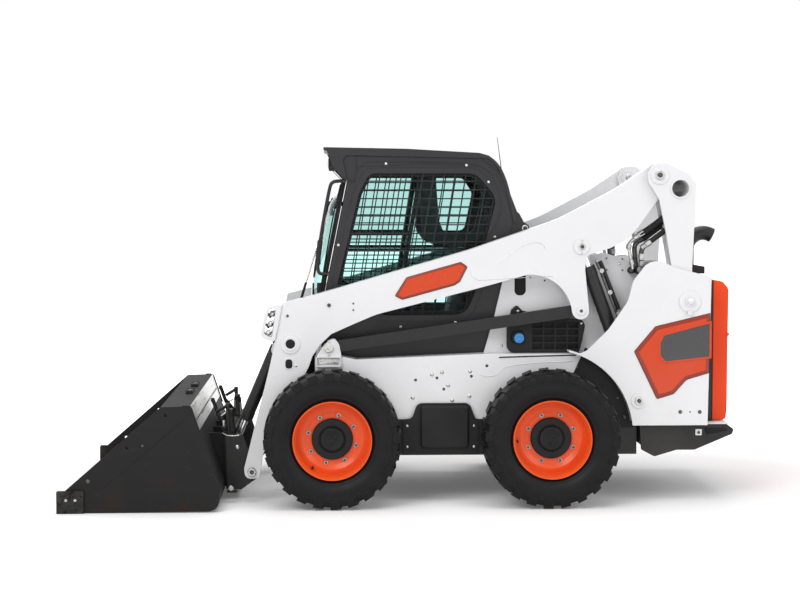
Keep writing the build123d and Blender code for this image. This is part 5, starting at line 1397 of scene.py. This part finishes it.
capValues = {"x": 0.706, "z": 0.963, "face": 0.502, "rimFace": 0.4995, "lobeRing": 0.016}
lobe = turned([(0, 0), (0.0075, 0), (0.007, 0.004), (0.004, 0.006), (0, 0.006)], 14)
cap = joined(turned([(0, -0.01), (0.027, -0.01), (0.03, -0.006), (0.03, 0.008), (0.0275, 0.0115),
                     (0.013, 0.0125), (0, 0.012)], 36),
             *[shifted(lobe, capValues["lobeRing"] * math.cos(a), 0.0115, capValues["lobeRing"] * math.sin(a))
               for a in (0.5, 1.76, 3.0, 4.28, 5.5)])
build("cooler_caps", paired(cap, capValues["x"], capValues["face"], capValues["z"]), "chassis", "bluePlastic")
capRim = turned([(0.0325, -0.01), (0.041, -0.01), (0.041, 0.003), (0.0395, 0.005), (0.034, 0.005),
                 (0.0325, 0.003)], 40, closed=True)
build("cooler_cap_rims", paired(capRim, capValues["x"], capValues["rimFace"], capValues["z"]), "chassis",
      "blackPlastic")

linerValues = {"inner": 0.3, "outer": 0.56, "from": 4, "to": 66, "low": 0.5605, "high": 0.566, "steps": 12,
               "axleHeight": 0.4}


def archPoint(radius, step):
    v = linerValues
    a = math.radians(v["from"] + (v["to"] - v["from"]) * step / v["steps"])
    return rearAxle + radius * math.cos(a), v["axleHeight"] + radius * math.sin(a), 0.0


steps = range(linerValues["steps"] + 1)
arch = [archPoint(linerValues["outer"], step) for step in steps]
arch += [archPoint(linerValues["inner"], step) for step in reversed(steps)]
build("fender_liners", paired(plateShape(arch, linerValues["low"], linerValues["high"], 0.001)), "chassis",
      "blackPlastic")
linerBolts = [(1.2905, 0.609, 0.008), (1.047, 0.793, 0.006), (1.332, 0.494, 0.012)]
fasteners("fender_liner_bolts", bothSides([(x, -linerValues["high"], z, left, size) for x, z, size in linerBolts]),
          "dome", "chassis", "darkSteel")

cornerCurve = [(0.5, 2.05), (0.5285, 2.048), (0.5645, 2.022), (0.6006, 1.9752), (0.6247, 1.9276), (0.6489, 1.856),
               (0.6672, 1.7845), (0.6854, 1.7128), (0.6977, 1.653), (0.705, 1.62), (0.68, 1.62), (0.615, 1.82),
               (0.55, 1.97), (0.5, 2.02)]
corner = plateShape([(x, z, 0.0) for x, z in cornerCurve], 0.352, 0.4395, 0.006)
build("cab_rear_corners", paired(corner), "chassis", "charcoalPaint", smooth=50)
rearSpan = [(0.564, 2.018), (0.6, 1.97), (0.624, 1.922), (0.648, 1.852), (0.64, 1.848), (0.616, 1.918),
            (0.592, 1.964), (0.556, 2.01)]
build("cab_rear_brow", plateShape([(x, z, 0.0) for x, z in rearSpan], -0.354, 0.354, 0.002), "chassis",
      "charcoalPaint")
rimLine = [(-0.2741, 1.8979), (-0.2561, 1.9648), (-0.2189, 2.0049), (-0.1519, 2.0138), (0.1313, 2.0126),
           (0.415, 2.0024), (0.5048, 1.9727), (0.5573, 1.9206), (0.583, 1.8461), (0.6028, 1.7566),
           (0.5955, 1.6969), (0.5582, 1.6297), (0.5284, 1.5774)]
outerLine = [(0.44, 2.056), (0.525, 2.038), (0.586, 1.982), (0.628, 1.89), (0.656, 1.78), (0.686, 1.65)]
for side, word in sideWords:
    pipes(f"cab_panel_rim_{word}", [atDepth(rimLine, side * 0.44)], 0.004, "chassis", "charcoalPaint", sides=10)
    pipes(f"cab_outer_rim_{word}", [atDepth(outerLine, side * 0.438)], 0.011, "chassis", "charcoalPaint")
print("caps, liners and cab corners built")


# tail: lamp frames, gate handle and louvres, bumper details with dark plates of painted shade in their recesses; then
# the dark backs of pockets and slots, the slot backs being painted shade

lampFrames = []
for side in (-1, 1):
    y = side * 0.43
    for y0, z0, y1, z1 in ((-0.046, 1.112, 0.046, 1.12), (-0.046, 1.22, 0.046, 1.228),
                           (-0.046, 1.112, -0.038, 1.228), (0.038, 1.112, 0.046, 1.228)):
        lampFrames.append(slab((1.956, y + y0, z0), (1.9675, y + y1, z1), 0.002))
build("tail_lamp_frames", joined(*lampFrames), "tailgate", "blackPlastic")
grip = [(1.96, 0.86), (1.971, 0.864), (1.9735, 0.88), (1.9735, 0.96), (1.971, 0.976), (1.96, 0.98)]
pipes("tailgate_handle", [atDepth(grip, -0.36)], 0.006, "tailgate", "blackPaint")
build("tailgate_latch", joined(slab((1.962, -0.39, 0.8), (1.972, -0.33, 0.84), 0.003),
                               slab((1.97, -0.368, 0.808), (1.976, -0.352, 0.832), 0.002)), "tailgate",
      "blackPaint")
gate = [(-0.45, 0.52), (0.45, 0.52), (0.474, 0.545), (0.474, 0.95), (0.45, 0.975), (-0.45, 0.975), (-0.474, 0.95),
        (-0.474, 0.545), (-0.45, 0.52)]
pipes("tailgate_pressing", [[(1.9625, y, z) for y, z in gate]], 0.0035, "tailgate", "orangePaint", sides=8)
shades = []
for index in range(6):
    z = 1.01 + 0.034 * index
    shades.append(slab((1.962, -0.298, z + 0.0155), (1.9665, 0.298, z + 0.0185), 0.001))
build("tailgate_louvre_lips", joined(*shades), "tailgate", "orangePaint")
reflector = plateShape(rectangle(1.751, 0.388, 1.789, 0.425, 0.002), 0.6, 0.603, 0.0006)
build("bumper_reflectors", paired(reflector), "chassis", "whitePaint")
fasteners("bumper_reflector_dots", bothSides([(1.771, -0.6025, 0.405, left, 0.0095)]), "dome", "chassis", "darkSteel")
recess = [(1.802, 0.433, 0.002), (1.93, 0.433, 0.002), (1.945, 0.415, 0.006), (1.815, 0.39, 0.004)]
# a dark plate in each bumper recess: painted shade
build("bumper_recesses", paired(plateShape(recess, 0.5985, 0.6014, 0.0004)), "chassis", "gasketRubber")
build("bumper_sill", slab((1.816, -0.598, 0.453), (1.95, 0.598, 0.461), 0.002), "chassis", "whitePaint")
pocket = outlineBand(rectangle(-0.498, 0.808, -0.364, 0.856, 0.003), 0.0, 0.007, tubFace, armFace)
build("bracket_pockets", paired(pocket), "chassis", "whitePaint")
pocketBack = plateShape(rectangle(-0.492, 0.813, -0.37, 0.851, 0.002), tubFace, 0.5625, 0.0004)
build("bracket_pocket_backs", paired(pocketBack), "chassis", "zincSteel")
# a dark plate behind each slot: painted shade in the opening
slotShadePlate = [(0.664, 1.195, 0.006), (0.768, 1.195, 0.006), (0.768, 1.344, 0.002), (0.664, 1.344, 0.002)]
build("plate_slot_backs", paired(plateShape(slotShadePlate, 0.443, 0.4465, 0.0005)), "chassis", "gasketRubber")
print("tail built")


# seat: two vinyl cushions swollen out of slack forms, with piping and belt reels beside them

seatValues = {
    "cushion": ((frontAxle + 0.352, -0.228, 0.912), (frontAxle + 0.788, 0.228, 1.004)),
    "back": ((-0.036, -0.208, -0.262), (0.04, 0.208, 0.262)),
    "backAt": (frontAxle + 0.8, 0.0, 1.275), "backLean": 12.0,
    "voxel": 0.006, "pressure": 4.0, "frames": 20, "cap": 0.014, "fill": 0.6,
}


def paddedForm(name, low, high, matrix):
    shape = moved(slab(low, high, 0.026, 4), matrix)
    piece = newObject(name, meshFrom(name, shape))
    remesh = piece.modifiers.new("even", "REMESH")
    remesh.mode = "VOXEL"
    remesh.voxel_size = seatValues["voxel"]
    applied(piece, remesh)
    resting = [vertex.co.copy() for vertex in piece.data.vertices]
    cloth = piece.modifiers.new("swell", "CLOTH")
    cloth.settings.use_pressure = True
    cloth.settings.uniform_pressure_force = seatValues["pressure"]
    cloth.settings.effector_weights.gravity = 0.0
    for step in range(1, seatValues["frames"] + 1):
        bpy.context.scene.frame_set(step)
    applied(piece, cloth)
    for vertex, rest in zip(piece.data.vertices, resting):
        shift = vertex.co - rest
        if shift.length > seatValues["cap"]:
            vertex.co = rest + shift.normalized() * seatValues["cap"]
    bpy.context.scene.frame_set(1)
    soft = piece.modifiers.new("soft", "SUBSURF")
    soft.levels = soft.render_levels = 1
    applied(piece, soft)
    settle(piece, "chassis", "seatVinyl", smooth=60)
    return piece


lean = Matrix.Translation(seatValues["backAt"]) @ Matrix.Rotation(math.radians(seatValues["backLean"]), 4, "Y")
cushion = paddedForm("seat_cushion", *seatValues["cushion"], Matrix.Identity(4))
backrest = paddedForm("seat_backrest", *seatValues["back"], lean)
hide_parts("seat")
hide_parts("seat")

sideLoop = [(frontAxle + 0.38, 0.246, 0.935), (frontAxle + 0.56, 0.25, 0.928), (frontAxle + 0.76, 0.246, 0.935)]
pipes("seat_side_piping", [[(x, side * y, z) for x, y, z in sideLoop] for side in (-1, 1)], 0.006, "chassis",
      "blackPlastic", sides=8)
reel = joined(slab((frontAxle + 0.7, 0.244, 0.86), (frontAxle + 0.77, 0.276, 0.94), 0.006),
              slab((frontAxle + 0.722, 0.25, 0.93), (frontAxle + 0.748, 0.262, 1.01), 0.003))
build("belt_reels", paired(reel), "chassis", "blackPlastic")


# joystick grips inside the cab

stickValues = {"x": -0.034, "y": 0.3, "z": 1.2}
sticks = []
for side in (-1, 1):
    x, y, z = stickValues["x"], side * stickValues["y"], stickValues["z"]
    sticks.append(between((x, y, z - 0.01), (x - 0.018, y, z + 0.12),
                          [(0, 0), (0.016, 0), (0.019, 0.03), (0.016, 0.07), (0.021, 0.1), (0.022, 0.125),
                           (0.014, 0.138), (0, 0.14)], 20))
    sticks.append(slab((x - 0.044, y - 0.018, z + 0.112), (x + 0.012, y + 0.018, z + 0.138), 0.008))
build("joystick_grips", joined(*sticks), "chassis", "blackPlastic")
print("seat and controls built")


# far ends of the arms, seen across the machine: bosses and pins on the inner faces

innerPin = (1.521, 0.464, 1.933)
ring = turned([(0.018, 0.002), (0.044, 0.002), (0.046, -0.004), (0.018, -0.004)], 36, closed=True)
build("inner_pin_rings", paired(ring, *innerPin), "rear_links", "whitePaint")
cap = turned([(0, 0.004), (0.02, 0.004), (0.02, -0.007), (0.016, -0.01), (0, -0.01)], 24)
build("inner_pin_caps", paired(cap, *innerPin), "rear_links", "zincSteel")
tubeLip = turned([(0.05, -0.004), (0.0605, -0.004), (0.0605, 0.004), (0.0585, 0.006), (0.052, 0.006),
                  (0.05, 0.004)], 48, closed=True)
build("cross_tube_lips", paired(tubeLip, 1.645, 0.62, 1.854), "rear_links", "whitePaint")

# work lamps under the visor
lampValues = {"y": 0.33, "z": 2.005, "x": -0.43}
housings, lenses = [], []
for side in (-1, 1):
    y = side * lampValues["y"]
    housings.append(slab((lampValues["x"], y - 0.052, lampValues["z"] - 0.034),
                         (lampValues["x"] + 0.05, y + 0.052, lampValues["z"] + 0.034), 0.008))
    lenses.append(slab((lampValues["x"] - 0.003, y - 0.045, lampValues["z"] - 0.027),
                       (lampValues["x"] + 0.004, y + 0.045, lampValues["z"] + 0.027), 0.003))
build("work_lamp_housings", joined(*housings), "chassis", "blackPlastic")
build("work_lamp_lenses", joined(*lenses), "chassis", "clearLens")
print("upper details built")


# camera, floor, backdrop and lights

stageValues = {
    "cameraAt": (-0.391, -10.84, 1.786), "yaw": 2.137, "pitch": 3.283, "lens": 78.4,
    "floorTone": (0.86, 0.86, 0.86), "floorGlow": 0.1, "fill": 0.52,
    "fadeShape": (0.6, 1.0, 1.0), "fade": (1.7, 4.4),
    # each lamp: watts, width of its panel, where it hangs, what it faces
    "lamps": {
        "key": (430, 5.0, (-4.5, -7.5, 7.5), (0.0, 0.0, 0.8)),
        "side": (130, 4.0, (6.5, -5.0, 4.5), (0.5, 0.0, 0.8)),
        "top": (380, 7.0, (0.0, -0.5, 9.0), (0.0, 0.0, 0.0)),
        "back": (110, 4.0, (2.0, 8.0, 6.5), (0.0, 0.0, 0.8)),
    },
}


def seenDirectly(tree):
    # 1 for what the camera sees straight, through glass or in a reflection
    path = addNode(tree, "ShaderNodeLightPath").outputs
    direct = calc(tree, "MAXIMUM", path["Is Camera Ray"], path["Is Transmission Ray"])
    return calc(tree, "MAXIMUM", direct, path["Is Glossy Ray"])


def buildStage():
    floorMesh = bpy.data.meshes.new("floor")
    floorMesh.from_pydata([(-40, -40, 0), (40, -40, 0), (40, 60, 0), (-40, 60, 0)], [], [(0, 1, 2, 3)])
    floor = newObject("floor", floorMesh)
    material, tree, shader = startMaterial("studioFloor")
    place = placeOf(tree)
    tone = stageValues["floorTone"]
    # away from the machine the floor fades into the white backdrop
    stretched = vectorCalc(tree, "MULTIPLY", place, stageValues["fadeShape"])[0]
    away = vectorCalc(tree, "LENGTH", stretched)["Value"]
    glow = remap(tree, away, *stageValues["fade"], stageValues["floorGlow"], 1.0)
    plug(tree, shader, {
        "Base Color": blendColors(tree, noiseAt(tree, place, 2.0, 3.0), tone, tuple(c * 0.99 for c in tone)),
        "Roughness": 0.9, "Emission Color": (1, 1, 1, 1),
        "Emission Strength": calc(tree, "MULTIPLY", seenDirectly(tree), glow)})
    floorMesh.materials.append(material)

    world = bpy.data.worlds.new("studio")
    bpy.context.scene.world = world
    world.use_nodes = True
    sky = world.node_tree
    strength = calc(sky, "MULTIPLY_ADD", seenDirectly(sky), 1.0 - stageValues["fill"], stageValues["fill"])
    plug(sky, sky.nodes["Background"], {"Color": (1, 1, 1, 1), "Strength": strength})

    for name, (power, size, at, towards) in stageValues["lamps"].items():
        light = bpy.data.lights.new(name, "AREA")
        light.energy = power
        light.size = size
        lamp = newObject(name, light)
        lamp.location = at
        lamp.rotation_euler = (Vector(towards) - Vector(at)).to_track_quat("-Z", "Y").to_euler()

    camera = bpy.data.cameras.new("camera")
    camera.lens = stageValues["lens"]
    camera.sensor_width = 36
    mount = newObject("camera", camera)
    mount.location = stageValues["cameraAt"]
    yaw, pitch = math.radians(stageValues["yaw"]), math.radians(stageValues["pitch"])
    ahead = Vector((math.sin(yaw) * math.cos(pitch), math.cos(yaw) * math.cos(pitch), -math.sin(pitch)))
    mount.rotation_euler = ahead.to_track_quat("-Z", "Y").to_euler()
    bpy.context.scene.camera = mount
    bpy.context.scene.view_settings.view_transform = "Standard"


buildStage()
for head in headObjects.values():
    bpy.data.objects.remove(head)
